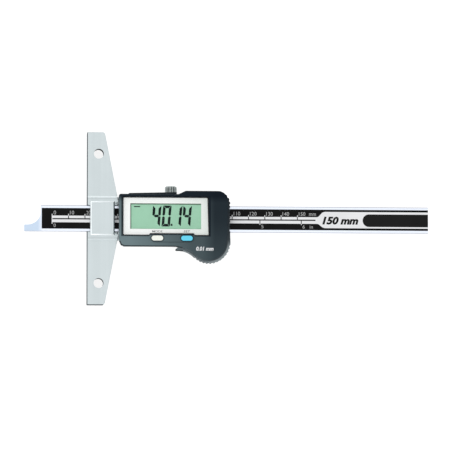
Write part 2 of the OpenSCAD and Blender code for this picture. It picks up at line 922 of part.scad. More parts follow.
module window_gasket()
    color([0.1, 0.1, 0.1])
        translate([0, 0, seat_z])
            linear_extrude(glue_t)
                difference() {
                    polygon(inset(window_outline, joint_fit));
                    polygon(inset(window_outline, 0.6));
                }

module display_bezel()
    color([0.94, 0.95, 0.93])
        translate([0, 0, bezel_z])
            linear_extrude(bezel_t)
                difference() {
                    polygon(inset(window_outline, 0.6 + joint_fit));
                    translate([view_x[0], view_y[0]])
                        square([view_x[1] - view_x[0], view_y[1] - view_y[0]]);
                }

module lcd_panel()
    color([0.61, 0.79, 0.69])
        translate([view_x[0] - lcd_rim, view_y[0] - lcd_rim, lcd_z])
            cube([view_x[1] - view_x[0] + 2 * lcd_rim, view_y[1] - view_y[0] + 2 * lcd_rim, lcd_t]);

zebra_y = [view_y[0] - lcd_rim + zebra_w / 2 + 0.2, view_y[1] + lcd_rim - zebra_w / 2 - 0.2];

module zebra_plan(fit)
    for (y = zebra_y)
        translate([view_x[0] + 1 - fit, y - zebra_w / 2 - fit])
            square([view_x[1] - view_x[0] - 2 + 2 * fit, zebra_w + 2 * fit]);

module zebra_strips()
    color([0.45, 0.3, 0.5])
        translate([0, 0, board_top])
            linear_extrude(lcd_z - board_top)
                zebra_plan(0);

module lcd_holder() {
    g = lcd_rim + 0.3;
    y0 = zebra_y[0] + zebra_w / 2 + 0.8;
    y1 = zebra_y[1] - zebra_w / 2 - 0.8;
    color([0.88, 0.88, 0.85])
    difference() {
        translate([view_x[0] - g, view_y[0] - g, board_top])
            cube([view_x[1] - view_x[0] + 2 * g, view_y[1] - view_y[0] + 2 * g, lcd_z - board_top]);
        translate([0, 0, board_top - over])
            linear_extrude(lcd_z - board_top + 2 * over) {
                zebra_plan(joint_fit);
                translate([view_x[0] + 1, y0])
                    square([view_x[1] - view_x[0] - 2, y1 - y0]);
            }
    }
}

// Electronics
module circuit_board()
    color([0.1, 0.35, 0.2])
        translate([board_x[0], board_y[0], rail_z])
            cube([board_x[1] - board_x[0], board_y[1] - board_y[0], board_t]);

module chip()
    color([0.12, 0.12, 0.13])
        translate([view_x[0] + chip_in, (view_y[0] + view_y[1] - chip_size[1]) / 2, board_top])
            cube(chip_size);

module key_switches()
    color([0.7, 0.7, 0.72])
        for (x = key_x)
            translate([x, key_y, board_top]) {
                translate(-[switch_size[0], switch_size[1], 0] / 2)
                    cube([switch_size[0], switch_size[1], switch_top - board_top - 0.4]);
                cylinder(h = switch_top - board_top, r = 1);
            }

// A key: the cap in the front shell, its flange behind the shell, and its stem
module key(x) {
    stem_z = switch_top + key_travel + switch_gap;
    translate([x, key_y, 0]) {
        translate([0, 0, flange_z + flange_t])
            linear_extrude(key_top - flange_z - flange_t)
                key_plan(0);
        translate([0, 0, flange_z])
            linear_extrude(flange_t)
                key_plan(flange_out);
        translate([0, 0, stem_z])
            cylinder(h = flange_z - stem_z, r = 1.2);
    }
}

module unit_button()
    color([0.95, 0.95, 0.92])
        key(key_x[0]);

module zero_button()
    color([0.4, 0.88, 0.97])
        key(key_x[1]);

// Battery
module battery()
    color([0.8, 0.81, 0.82])
        translate([cell_x, cell_y, cell_z])
            rotate_extrude()
                polygon([
                    [0, 0], [cell_d / 2 - 0.3, 0], [cell_d / 2, 0.3], [cell_d / 2, cell_h - 0.5],
                    [cell_d / 2 - 0.5, cell_h - 0.25], [cell_d / 2 - 1, cell_h - 0.25],
                    [cell_d / 2 - 1.1, cell_h], [0, cell_h]
                ]);

module battery_contacts() {
    top = cell_top;
    rim = cell_y + cell_d / 2 + 0.03;
    color([0.85, 0.75, 0.4]) {
        // Strip on the cell's cap, bent down to the board
        translate([cell_x - 4, 0, 0])
            rotate([90, 0, 90])
                linear_extrude(contact_w)
                    polygon([
                        [cell_y - 1, top], [board_y[0] + 0.6, top], [board_y[0] + 0.6, board_top],
                        [board_y[0] + 2.2, board_top], [board_y[0] + 2.2, board_top + contact_t],
                        [board_y[0] + 0.6 + contact_t, board_top + contact_t],
                        [board_y[0] + 0.6 + contact_t, top + contact_t], [cell_y - 1, top + contact_t]
                    ]);
        // Strip on the cell's side
        translate([cell_x - contact_w / 2, 0, 0])
            rotate([90, 0, 90])
                linear_extrude(contact_w)
                    polygon([
                        [rim, 0.5], [rim + contact_t, 0.5], [rim + contact_t, board_top],
                        [board_y[0] + 1.6, board_top], [board_y[0] + 1.6, board_top + contact_t],
                        [rim, board_top + contact_t]
                    ]);
    }
}

module battery_seal()
    color([0.15, 0.15, 0.15])
        translate([cell_x, cell_y, cover_top + plug_h / 2])
            rotate_extrude()
                translate([seal_mid, 0])
                    circle(seal_r, $fn = 24);

module battery_cover() {
    groove = seal_r + 0.05;
    color([0.16, 0.18, 0.2])
    difference() {
        translate([cell_x, cell_y, -lobe_back]) {
            linear_extrude(cover_t)
                cover_plan(0);
            cylinder(h = cover_t + plug_h, r = plug_r);
        }
        translate([cell_x, cell_y, cover_top + plug_h / 2])
            rotate_extrude()
                translate([seal_mid - groove, -groove])
                    square([2, 2 * groove]);
        at_cover_screws()
            screw_hole(small_screw_r, cover_screw_l);
    }
}

module battery_cover_screws()
    color([0.6, 0.62, 0.64])
        at_cover_screws()
            screw(small_screw_r, cover_screw_l);

beam();
scale_strip();
scale_film();
end_stop();
end_stop_screws();
base();
base_screws();
slider_frame();
gib_strip();
gib_screws();
lock_screw();
rear_shell();
front_shell();
shell_gasket();
shell_screws();
window();
window_gasket();
display_bezel();
lcd_panel();
lcd_holder();
zebra_strips();
circuit_board();
chip();
key_switches();
unit_button();
zero_button();
battery();
battery_contacts();
battery_seal();
battery_cover();
battery_cover_screws();
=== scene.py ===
# %% [markdown]
# # A digital depth gauge
# The gauge lies on its back on a pale floor. A steel beam slides through a wide steel base,
# and a moulded housing behind the base carries the display, two keys and a lock knob.
# The solids come from the imported model. This script gives them soft edges, finishes with
# painted light and shade in places, printed marks, a display that reads, plain studio light and
# the photograph's camera.

# %% Load the frame
import json
import math

import bmesh
import bpy
from mathutils import Matrix, Vector

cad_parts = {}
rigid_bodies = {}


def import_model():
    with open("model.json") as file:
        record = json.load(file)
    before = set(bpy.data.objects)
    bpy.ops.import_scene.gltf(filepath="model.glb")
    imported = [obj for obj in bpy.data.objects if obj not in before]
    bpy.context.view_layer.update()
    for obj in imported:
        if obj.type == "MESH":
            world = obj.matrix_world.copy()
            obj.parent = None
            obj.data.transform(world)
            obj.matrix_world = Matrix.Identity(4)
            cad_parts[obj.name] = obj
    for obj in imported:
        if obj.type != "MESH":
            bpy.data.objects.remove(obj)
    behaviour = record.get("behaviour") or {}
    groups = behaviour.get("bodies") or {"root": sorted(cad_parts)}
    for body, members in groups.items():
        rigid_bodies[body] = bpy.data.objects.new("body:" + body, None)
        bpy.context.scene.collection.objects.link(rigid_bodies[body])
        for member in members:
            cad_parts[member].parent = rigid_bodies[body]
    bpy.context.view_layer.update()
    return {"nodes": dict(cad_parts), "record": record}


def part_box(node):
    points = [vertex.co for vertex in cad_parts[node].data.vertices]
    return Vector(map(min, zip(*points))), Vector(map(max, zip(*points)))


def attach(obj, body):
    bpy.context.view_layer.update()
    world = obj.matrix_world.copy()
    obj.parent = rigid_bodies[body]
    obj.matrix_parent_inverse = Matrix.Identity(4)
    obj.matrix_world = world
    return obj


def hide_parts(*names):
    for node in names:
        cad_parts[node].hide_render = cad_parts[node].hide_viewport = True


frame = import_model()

MM = 0.001
print("nodes:", len(frame["nodes"]))

# %% [markdown]
# ## Shared shader effects
# Several finishes need the same small effects: the grain of a mould, the lines that a grinding
# wheel leaves, and the faint smudges of handling. Each could be painted as an image, but noise
# in node groups stays sharp at any distance. A group puts out only masks and heights, and the
# shader itself stays in the material.

# %% Start a node group


def start_group(name, inputs, outputs):
    """A shader group with inputs {name: default} and outputs (names), all plain numbers."""
    group = bpy.data.node_groups.new(name, "ShaderNodeTree")
    for label, value in inputs.items():
        socket = group.interface.new_socket(label, in_out="INPUT", socket_type="NodeSocketFloat")
        socket.default_value = value
    for label in outputs:
        group.interface.new_socket(label, in_out="OUTPUT", socket_type="NodeSocketFloat")
    given = group.nodes.new("NodeGroupInput").outputs
    result = group.nodes.new("NodeGroupOutput").inputs
    return group, given, result


def object_place(tree):
    """The place on the object in metres, which doesn't change when the camera moves."""
    return tree.nodes.new("ShaderNodeTexCoord").outputs["Object"]


print("helpers: start_group, object_place")

# %% Noise and ramps


def noise(tree, coords, scale, detail):
    """A noise texture over those coordinates; scale is a number or a socket."""
    node = tree.nodes.new("ShaderNodeTexNoise")
    node.inputs["Detail"].default_value = detail
    tree.links.new(coords, node.inputs["Vector"])
    if isinstance(scale, (int, float)):
        node.inputs["Scale"].default_value = scale
    else:
        tree.links.new(scale, node.inputs["Scale"])
    return node.outputs["Fac"]


def ramp(tree, value, low, high, out_low=0.0, out_high=1.0):
    """Maps low..high to out_low..out_high, clamped."""
    node = tree.nodes.new("ShaderNodeMapRange")
    limits = {"From Min": low, "From Max": high, "To Min": out_low, "To Max": out_high}
    for label, number in limits.items():
        node.inputs[label].default_value = number
    tree.links.new(value, node.inputs["Value"])
    return node.outputs["Result"]


print("helpers: noise, ramp")

# %% [markdown]
# ## Mould grain
# A moulded housing has a matt grain, because the wall of its mould is etched: fine pits, with
# broad patches that are very faint. The pits could be modelled, but they are far smaller than a
# pixel. So fine noise feeds a bump, and coarse noise mixes two tones that lie close together.

# %% Mould grain
grain_group, given, result = start_group("Mould grain", {"Scale": 2500.0}, ("Height", "Patch"))
place = object_place(grain_group)
pits = noise(grain_group, place, given["Scale"], 4.0)
grain_group.links.new(ramp(grain_group, pits, 0.35, 0.65), result["Height"])
patches = noise(grain_group, place, 70.0, 2.0)
grain_group.links.new(ramp(grain_group, patches, 0.3, 0.7), result["Patch"])
print("group:", grain_group.name)

# %% [markdown]
# ## Ground lines
# Grinding leaves fine parallel lines on steel. A wave texture would draw them too evenly. Here
# noise is stretched along one axis, and its inputs say how fast it runs along each of the three.

# %% Ground lines
lines_group, given, result = start_group(
    "Ground lines", {"Along X": 12.0, "Along Y": 1600.0, "Along Z": 1600.0}, ("Height", "Tone"),
)
stretch = lines_group.nodes.new("ShaderNodeCombineXYZ")
for axis in "XYZ":
    lines_group.links.new(given["Along " + axis], stretch.inputs[axis])
scaled = lines_group.nodes.new("ShaderNodeVectorMath")
scaled.operation = "MULTIPLY"
lines_group.links.new(object_place(lines_group), scaled.inputs[0])
lines_group.links.new(stretch.outputs["Vector"], scaled.inputs[1])
fine = noise(lines_group, scaled.outputs["Vector"], 1.0, 5.0)
lines_group.links.new(ramp(lines_group, fine, 0.3, 0.7), result["Height"])
broad = noise(lines_group, scaled.outputs["Vector"], 0.25, 2.0)
lines_group.links.new(ramp(lines_group, broad, 0.35, 0.65), result["Tone"])
print("group:", lines_group.name)

# %% [markdown]
# ## Handling smudges
# A tool that is held every day carries a little skin oil, which changes its gloss in soft blots
# but hardly its colour. The mask is meant for Roughness alone.

# %% Handling smudges
smudge_group, given, result = start_group("Handling smudges", {"Scale": 45.0}, ("Mask",))
blots = noise(smudge_group, object_place(smudge_group), given["Scale"], 6.0)
smudge_group.links.new(ramp(smudge_group, blots, 0.45, 0.7), result["Mask"])
print("group:", smudge_group.name)

# %% [markdown]
# ## Painted light and shade on the housing
# The housing is one dark plastic, but it reads palest at its lower left. It darkens to the
# right, over the slope behind the window, and on the band above the window. This is painted
# shade and sheen: lamps could shade it, but they would shade the steel as well. A mask over the
# place on the housing mixes a dark and a pale grey instead, and looks the same from every side.

# %% Calculate with places


def object_axes(tree):
    """The place on the object along X, Y and Z, each as a number."""
    split = tree.nodes.new("ShaderNodeSeparateXYZ")
    tree.links.new(object_place(tree), split.inputs["Vector"])
    return [split.outputs[axis] for axis in "XYZ"]


def math_node(tree, operation, first, second):
    """One calculation with two values, each a number or a socket."""
    node = tree.nodes.new("ShaderNodeMath")
    node.operation = operation
    for socket, value in zip(node.inputs, (first, second)):
        if isinstance(value, (int, float)):
            socket.default_value = value
        else:
            tree.links.new(value, socket)
    return node.outputs["Value"]


def apart(tree, value, centre):
    """How far a value lies from a centre."""
    return math_node(tree, "ABSOLUTE", math_node(tree, "SUBTRACT", value, centre), 0.0)


def reach(tree, along, aside):
    """The length of the slanting side over two square ones."""
    squares = [math_node(tree, "POWER", side, 2.0) for side in (along, aside)]
    return math_node(tree, "SQRT", math_node(tree, "ADD", *squares), 0.0)


print("helpers: object_axes, math_node, apart, reach")

# %% Painted light and shade on the housing
housing_light_shade_group, _, result = start_group("Housing painted light and shade", {}, ("Mask", "Rim"))
across, up, _ = object_axes(housing_light_shade_group)
# Painted shade: the slope at the right of the housing is darkened, more towards its top
slope = math_node(housing_light_shade_group, "MULTIPLY", ramp(housing_light_shade_group, across, 0.070, 0.0775),
                  ramp(housing_light_shade_group, up, -0.026, -0.002, 0.4, 0.72))
tone = math_node(housing_light_shade_group, "SUBTRACT", 1.0, slope)
# Painted shade: the rows darken the housing towards the right, towards the top, and on the band above the
# window
# Each row holds an axis, both ends of the change in metres, and the tone at its far end
for axis, start, end, darker in (
    (across, 0.026, 0.064, 0.38),
    (up, -0.013, 0.004, 0.75),
    (up, 0.0095, 0.0135, 0.09),
):
    tone = math_node(housing_light_shade_group, "MULTIPLY", tone, ramp(housing_light_shade_group, axis, start, end, 1.0, darker))
housing_light_shade_group.links.new(tone, result["Mask"])
print("group:", housing_light_shade_group.name)

# %% [markdown]
# The teeth of the thumb rim run round the lobe, and those at its lower right catch the light.
# A second mask of the same group picks them out by their distance from the lobe's centre, as a painted
# highlight.

# %% Light on the rim's teeth
LOBE_X, LOBE_Y = 0.0742, -0.0144
TEETH_START, TEETH_FULL = 0.0113, 0.0116
# Painted highlight: the teeth at the lower right of the lobe
from_lobe = reach(housing_light_shade_group, apart(housing_light_shade_group, across, LOBE_X), apart(housing_light_shade_group, up, LOBE_Y))
rim = ramp(housing_light_shade_group, from_lobe, TEETH_START, TEETH_FULL)
at_right = ramp(housing_light_shade_group, across, 0.070, 0.078)
at_foot = ramp(housing_light_shade_group, up, -0.018, -0.013, 1.0, 0.0)
for part in (at_right, at_foot):
    rim = math_node(housing_light_shade_group, "MULTIPLY", rim, part)
housing_light_shade_group.links.new(rim, result["Rim"])
print("teeth from", round(TEETH_START / MM, 1), "mm off the lobe's centre")

# %% [markdown]
# ## Painted shade at the seams of the housing
# Where moulded pieces meet, a dark line of shade shows in the narrow gap: one follows the
# window's edge, and another runs round each key. Such a gap is narrower than a pixel and would
# vanish. So the plastic under it and a little past it is darkened too, as painted shade. The
# window takes a rectangle, which stops short of the keys, and each key takes a long patch with
# round ends.

# %% Painted shade at the seams of the housing


def band(tree, value, low, high, soft=0.0002):
    """One between low and high, and zero outside."""
    rise = ramp(tree, value, low - soft, low)
    fall = ramp(tree, value, high, high + soft, 1.0, 0.0)
    return math_node(tree, "MULTIPLY", rise, fall)


seam_shade_group, _, result = start_group("Seam shade", {}, ("Mask",))
across, up, _ = object_axes(seam_shade_group)
WINDOW_LEFT, WINDOW_RIGHT, WINDOW_LOW, WINDOW_TOP = 0.0205, 0.0749, -0.0111, 0.0136
KEYS_LEFT, KEYS_RIGHT, KEYS_TOP = 0.0376, 0.0652, -0.0105
# Painted shade along the window's edge, stopping short of the keys
at_window = math_node(seam_shade_group, "MULTIPLY", band(seam_shade_group, across, WINDOW_LEFT, WINDOW_RIGHT),
                      band(seam_shade_group, up, WINDOW_LOW, WINDOW_TOP))
over_keys = math_node(seam_shade_group, "MULTIPLY", band(seam_shade_group, across, KEYS_LEFT, KEYS_RIGHT),
                      ramp(seam_shade_group, up, KEYS_TOP, KEYS_TOP + 0.0002, 1.0, 0.0))
beside_keys = math_node(seam_shade_group, "SUBTRACT", 1.0, over_keys)
window_seam_shade = math_node(seam_shade_group, "MULTIPLY", at_window, beside_keys)
print("window seam:", round((WINDOW_RIGHT - WINDOW_LEFT) / MM, 1), "mm wide")

# %% Painted shade round the keys
KEYS_MIDDLE, KEY_OFF, KEY_Y, KEY_STRAIGHT = 0.0514, 0.009, -0.0123, 0.002
DARK_WITHIN, CLEAR_FROM = 0.0019, 0.0023
from_key = apart(seam_shade_group, apart(seam_shade_group, across, KEYS_MIDDLE), KEY_OFF)
along = math_node(seam_shade_group, "MAXIMUM", math_node(seam_shade_group, "SUBTRACT", from_key, KEY_STRAIGHT), 0.0)
from_line = reach(seam_shade_group, along, apart(seam_shade_group, up, KEY_Y))
# Painted shade round each key
key_seam_shade = ramp(seam_shade_group, from_line, DARK_WITHIN, CLEAR_FROM, 1.0, 0.0)
seam_shade_group.links.new(math_node(seam_shade_group, "MAXIMUM", window_seam_shade, key_seam_shade), result["Mask"])
print("group:", seam_shade_group.name)

# %% [markdown]
# ## Finishes
# One function starts every material, and four more build its families: ground metal, moulded
# plastic, the housing's plastic, and smooth print. Each could be set up by hand in the shader
# editor. With functions, each piece only names its own colours and depths, so the beam, the base
# and the screws look alike but not the same.

# %% Start a material


def start_material(name, color, metallic, roughness):
    """A material with its tree and its shader, whose plain values are set right away."""
    material = bpy.data.materials.new(name)
    material.use_nodes = True
    shader = material.node_tree.nodes["Principled BSDF"]
    shader.inputs["Base Color"].default_value = (*color, 1.0)
    shader.inputs["Metallic"].default_value = metallic
    shader.inputs["Roughness"].default_value = roughness
    return material, material.node_tree, shader


def put_group(tree, group, **values):
    """Places a group in a tree; the values go to its inputs of those names."""
    node = tree.nodes.new("ShaderNodeGroup")
    node.node_tree = group
    for label, number in values.items():
        node.inputs[label.replace("_", " ")].default_value = number
    return node


print("helpers: start_material, put_group")

# %% Colour, gloss and relief
BUMP_STRENGTH = 0.35


def mix_colors(tree, mask, first, second):
    """The first colour where the mask is zero and the second where it is one."""
    node = tree.nodes.new("ShaderNodeMix")
    node.data_type = "RGBA"
    for label, color in (("A", first), ("B", second)):
        if isinstance(color, tuple):
            node.inputs[label].default_value = (*color, 1.0)
        else:
            tree.links.new(color, node.inputs[label])
    tree.links.new(mask, node.inputs["Factor"])
    return node.outputs["Result"]


def overlay(material, mask, color):
    """Lays one more colour over a finish where the mask is one."""
    tree = material.node_tree
    socket = tree.nodes["Principled BSDF"].inputs["Base Color"]
    tree.links.new(mix_colors(tree, mask, socket.links[0].from_socket, color), socket)


def touched_gloss(tree, shader, clean, touched, scale=45.0):
    """Roughness that goes from clean to touched in the blots of skin oil."""
    oil = put_group(tree, smudge_group, Scale=scale)
    tree.links.new(ramp(tree, oil.outputs["Mask"], 0.0, 1.0, clean, touched), shader.inputs["Roughness"])


def set_gloss(material, level):
    """How strongly the surface mirrors; zero leaves it quite dull."""
    material.node_tree.nodes["Principled BSDF"].inputs["Specular IOR Level"].default_value = level


def add_bump(tree, shader, height, depth):
    """A relief of that depth in metres."""
    node = tree.nodes.new("ShaderNodeBump")
    node.inputs["Strength"].default_value = BUMP_STRENGTH
    node.inputs["Distance"].default_value = depth
    tree.links.new(height, node.inputs["Height"])
    tree.links.new(node.outputs["Normal"], shader.inputs["Normal"])


print("helpers: mix_colors, overlay, touched_gloss, set_gloss, add_bump")

# %% [markdown]
# ## Ground metal
# The gauge's steel is hardened and ground, so its gloss is soft and broken by fine lines. An
# anisotropic shader could stretch the gloss along them, but on narrow faces under soft light that
# would hardly show. Two close tones, a shallow relief and a little oil are enough at this size.

# %% Ground metal
ALONG_BEAM = (12.0, 1600.0, 1600.0)
ALONG_BASE = (1500.0, 10.0, 1500.0)
ROUND_KNOB = (200.0, 2400.0, 200.0)
LINE_DEPTH = 0.02 * MM
OILED = 0.07


def cut_lines(tree, lines):
    """Ground lines; the three numbers say how fast the noise runs along X, Y and Z."""
    return put_group(tree, lines_group, Along_X=lines[0], Along_Y=lines[1], Along_Z=lines[2])


def ground_metal(name, dark, light, roughness, lines=ALONG_BEAM, metallic=1.0):
    """Steel or bronze with fine lines of two close tones."""
    material, tree, shader = start_material(name, light, metallic, roughness)
    cut = cut_lines(tree, lines)
    tree.links.new(mix_colors(tree, cut.outputs["Tone"], dark, light), shader.inputs["Base Color"])
    touched_gloss(tree, shader, roughness, roughness + OILED)
    add_bump(tree, shader, cut.outputs["Height"], LINE_DEPTH)
    return material


print("lines along the beam:", ALONG_BEAM, "and along the base:", ALONG_BASE)

# %% [markdown]
# ## The base's steel
# The base is satin steel, ground along its length. The step beside its raised panel shows a bright
# line along its edge and a dark one behind it: a painted highlight and painted shade. Narrow bands
# along the base, laid over its steel, paint them: two on both sides of the beam, and one more
# painted highlight on the upper side, which catches more light.

# %% The base's steel
base_steel = ground_metal("satin_base_steel", (0.555, 0.61, 0.62), (0.58, 0.635, 0.645), 0.36, ALONG_BASE)
tree = base_steel.node_tree
_, up, _ = object_axes(tree)
from_beam = apart(tree, up, 0.0)
# Painted light and shade: a highlight along the step's edge, shade behind it, and a brighter highlight on
# the upper side
# Each row holds a place, the band's two ends and soft border in metres, and the colour
for value, low, high, soft, color in (
    (from_beam, 0.0129, 0.0133, 0.0001, (0.70, 0.76, 0.77)),
    (from_beam, 0.0117, 0.0122, 0.0002, (0.50, 0.55, 0.56)),
    (up, 0.0129, 0.0135, 0.0001, (0.86, 0.92, 0.93)),
):
    overlay(base_steel, band(tree, value, low, high, soft), color)
print("steel of the base:", base_steel.name)

# %% [markdown]
# The chamfers of the raised panel and the rounds of the base's edges are paler and less
# metallic: a painted highlight. The measuring face is lapped, and its dark grey is a painted dark
# reflection, with the arris painted darker still. As bright steel, both would mirror the floor at
# a grazing view, so they are matt and grey here.

# %% Steels of the base's edges and measuring face
# Painted highlight: near white and hardly metallic, for the panel's chamfers and the base's rounds
edge_steel = ground_metal("edge_steel_painted_highlight", (0.88, 0.94, 0.95), (0.92, 0.97, 0.98), 0.4,
                          (300.0, 300.0, 300.0), 0.3)
# Painted dark reflection and shade: matt dark grey for the measuring face, the end face and the bores, near
# black for the arris
painted_dark_steel = ground_metal("face_and_bore_steel_painted_dark", (0.14, 0.15, 0.16), (0.17, 0.18, 0.19), 0.8,
                            ALONG_BASE, 0.0)
arris_steel = ground_metal("arris_steel_painted_dark", (0.04, 0.044, 0.048), (0.055, 0.06, 0.064), 0.8,
                           ALONG_BASE, 0.0)
for steel in (painted_dark_steel, arris_steel):
    set_gloss(steel, 0.0)
    print("matt steel:", steel.name)

# %% [markdown]
# ## The beam's steel
# The beam is bright steel, ground along its length. Its bare tip reads a little bluer than the
# long edges beside the film, so two tones meet just past the tip. The gloss follows the lines.

# %% The beam's steel
TIP_END, EDGE_START = -0.030, -0.027
beam_steel, tree, shader = start_material("bright_beam_steel", (0.82, 0.86, 0.92), 1.0, 0.28)
cut = cut_lines(tree, ALONG_BEAM)
past_tip = ramp(tree, object_axes(tree)[0], TIP_END, EDGE_START)
bright = math_node(tree, "MULTIPLY", past_tip, ramp(tree, cut.outputs["Tone"], 0.0, 1.0, 0.93, 1.0))
tree.links.new(mix_colors(tree, bright, (0.52, 0.62, 0.75), (0.77, 0.81, 0.89)), shader.inputs["Base Color"])
tree.links.new(ramp(tree, cut.outputs["Height"], 0.0, 1.0, 0.26, 0.32), shader.inputs["Roughness"])
add_bump(tree, shader, cut.outputs["Height"], LINE_DEPTH)
# Painted shade: darker copies of the beam's steel for its long chamfers
beam_chamfer_shade_steel = ground_metal("beam_chamfer_painted_shade", (0.28, 0.29, 0.36), (0.34, 0.35, 0.42), 0.3)
beam_side_painted_shade = ground_metal("beam_side_painted_shade", (0.56, 0.58, 0.64), (0.62, 0.64, 0.70), 0.3)
print("steel of the beam:", beam_steel.name)

# %% [markdown]
# ## Smaller metal pieces
# The frame channel, the knob and the screws are steel too, each cut in its own way: the channel
# along the beam, and the knob and screws on a lathe. The gib and the contacts are bronze, and the
# battery's can is bright.

# %% Smaller metal pieces
# Painted light: the channel's steel is paler and less metallic than steel, so it reads pale in the shaded
# gap beside the base's panel; the end stop takes it too
pale_painted_channel_steel = ground_metal("ground_channel_painted_pale", (0.74, 0.79, 0.81), (0.82, 0.87, 0.89), 0.4,
                             metallic=0.15)
screw_steel = ground_metal("screw_steel", (0.42, 0.44, 0.46), (0.55, 0.57, 0.60), 0.35,
                           (900.0, 900.0, 60.0))
knob_steel = ground_metal("turned_knob_steel", (0.36, 0.40, 0.39), (0.55, 0.60, 0.59), 0.3, ROUND_KNOB)
# Painted shade: a near-black copy of the knob's steel for its flutes
shaded_flute_steel = ground_metal("knob_flutes_painted_shade", (0.08, 0.09, 0.09), (0.14, 0.155, 0.15), 0.4, ROUND_KNOB)
bronze = ground_metal("gib_bronze", (0.62, 0.46, 0.24), (0.78, 0.62, 0.35), 0.35)
cell_steel = ground_metal("cell_steel", (0.66, 0.67, 0.68), (0.80, 0.81, 0.82), 0.25,
                          (700.0, 700.0, 700.0))
for metal in (pale_painted_channel_steel, screw_steel, knob_steel, shaded_flute_steel, bronze, cell_steel):
    print("metal:", metal.name)

# %% [markdown]
# ## Moulded plastic
# Keys, covers, seals and the board share one plain recipe: two close tones, a grain, and a gloss
# that rises a little where fingers rub. The grain's depth is what tells a coarse cover from a
# smooth key.

# %% Moulded plastic
GRAIN_DEPTH = 0.03 * MM
RUBBED = 0.08


def moulded(name, dark, light, roughness, depth=GRAIN_DEPTH):
    """Plain moulded stuff; a smaller depth makes it smoother."""
    material, tree, shader = start_material(name, light, 0.0, roughness)
    grain = put_group(tree, grain_group)
    tree.links.new(mix_colors(tree, grain.outputs["Patch"], dark, light), shader.inputs["Base Color"])
    touched_gloss(tree, shader, roughness, roughness - RUBBED)
    add_bump(tree, shader, grain.outputs["Height"], depth)
    return material


# Painted shade: a darker plastic for the housing's lower edge, which turns away from the light
skirt_painted_shade = moulded("skirt_painted_shade", (0.040, 0.052, 0.056), (0.050, 0.064, 0.068), 0.55)
set_gloss(skirt_painted_shade, 0.0)
cover_plastic = moulded("battery_cover_plastic", (0.030, 0.042, 0.050), (0.038, 0.052, 0.060), 0.55)
seal_rubber = moulded("seal_rubber", (0.015, 0.015, 0.015), (0.03, 0.03, 0.03), 0.7)
chip_black = moulded("chip_epoxy", (0.02, 0.02, 0.02), (0.035, 0.035, 0.035), 0.5)
laminate = moulded("green_laminate", (0.03, 0.12, 0.06), (0.05, 0.19, 0.09), 0.35, 0.006 * MM)
key_ivory = moulded("ivory_key", (0.78, 0.80, 0.73), (0.83, 0.85, 0.78), 0.38, 0.005 * MM)
key_blue = moulded("blue_key", (0.09, 0.57, 0.78), (0.12, 0.64, 0.84), 0.38, 0.005 * MM)
for stuff in (skirt_painted_shade, cover_plastic, seal_rubber, chip_black, laminate, key_ivory, key_blue):
    print("moulded:", stuff.name)

# %% [markdown]
# The pale frame round the display is smooth, and gets a little less light at its right, where
# the housing falls away. One soft overlay along X is simpler than a lamp for it.

# %% The frame round the display
pale_plastic = moulded("pale_display_frame", (0.94, 0.955, 0.93), (0.965, 0.975, 0.955), 0.45, 0.008 * MM)
across = object_axes(pale_plastic.node_tree)[0]
overlay(pale_plastic, ramp(pale_plastic.node_tree, across, 0.050, 0.073), (0.78, 0.82, 0.78))
print("frame round the display:", pale_plastic.name)

# %% [markdown]
# ## The housing's plastic
# Both shells take the painted shade and the seam shade from above, on a coarser grain and with little gloss.
# The rear shell is a little paler than the front, and its teeth get a painted highlight on the rim.

# %% The housing's plastic
HOUSING_GLOSS, HOUSING_GRAIN = 0.06, 2200.0
PATCH_TONE, SEAM_SHADE_TONE = 0.94, 0.22


def housing_plastic(name, dark, light, roughness, rim=None):
    """Grained plastic with the housing's painted shade and seam shade; rim is the painted highlight colour
    of its teeth.
    """
    material, tree, shader = start_material(name, light, 0.0, roughness)
    set_gloss(material, HOUSING_GLOSS)
    # Painted light and shade from the housing's mask and from the seam mask
    tone = put_group(tree, housing_light_shade_group)
    seam_shading = put_group(tree, seam_shade_group)
    grain = put_group(tree, grain_group, Scale=HOUSING_GRAIN)
    mask = math_node(tree, "MULTIPLY", tone.outputs["Mask"],
                     ramp(tree, grain.outputs["Patch"], 0.0, 1.0, PATCH_TONE, 1.0))
    # Painted shade: the seam mask darkens the plastic along the window and round each key
    mask = math_node(tree, "MULTIPLY", mask,
                     ramp(tree, seam_shading.outputs["Mask"], 0.0, 1.0, 1.0, SEAM_SHADE_TONE))
    color = mix_colors(tree, mask, dark, light)
    # Painted highlight on the teeth
    if rim is not None:
        color = mix_colors(tree, tone.outputs["Rim"], color, rim)
    tree.links.new(color, shader.inputs["Base Color"])
    touched_gloss(tree, shader, roughness, roughness - RUBBED)
    add_bump(tree, shader, grain.outputs["Height"], GRAIN_DEPTH)
    return material


# Each shell's dark and pale grey are mixed by the painted shade
front_plastic = housing_plastic("front_shell_plastic", (0.003, 0.007, 0.013), (0.145, 0.198, 0.210), 0.5)
# The rim colour is the painted highlight on the rear shell's teeth
rear_plastic = housing_plastic("rear_shell_plastic", (0.008, 0.012, 0.018), (0.32, 0.385, 0.41), 0.5,
                               rim=(0.27, 0.31, 0.32))
print("housing:", front_plastic.name, rear_plastic.name)

# %% [markdown]
# ## Film, inks and display
# The printed film, the inks and the display are smooth, and their detail is small: a little
# uneven gloss, and a faint cloud in the liquid crystal. An image of dust would do it too, but the
# mould grain is there already, and here it feeds tone and gloss without any relief.

# %% Film, inks and display
FILM_GRAIN, FILM_DUST = 900.0, 0.06


def printed(name, dark, light, roughness, gloss=0.1):
    """A smooth ink or film whose tone and gloss vary only slightly."""
    material, tree, shader = start_material(name, light, 0.0, roughness)
    grain = put_group(tree, grain_group, Scale=FILM_GRAIN)
    tree.links.new(mix_colors(tree, grain.outputs["Patch"], dark, light), shader.inputs["Base Color"])
    rough = ramp(tree, grain.outputs["Height"], 0.0, 1.0, roughness, roughness + FILM_DUST)
    tree.links.new(rough, shader.inputs["Roughness"])
    set_gloss(material, gloss)
    return material


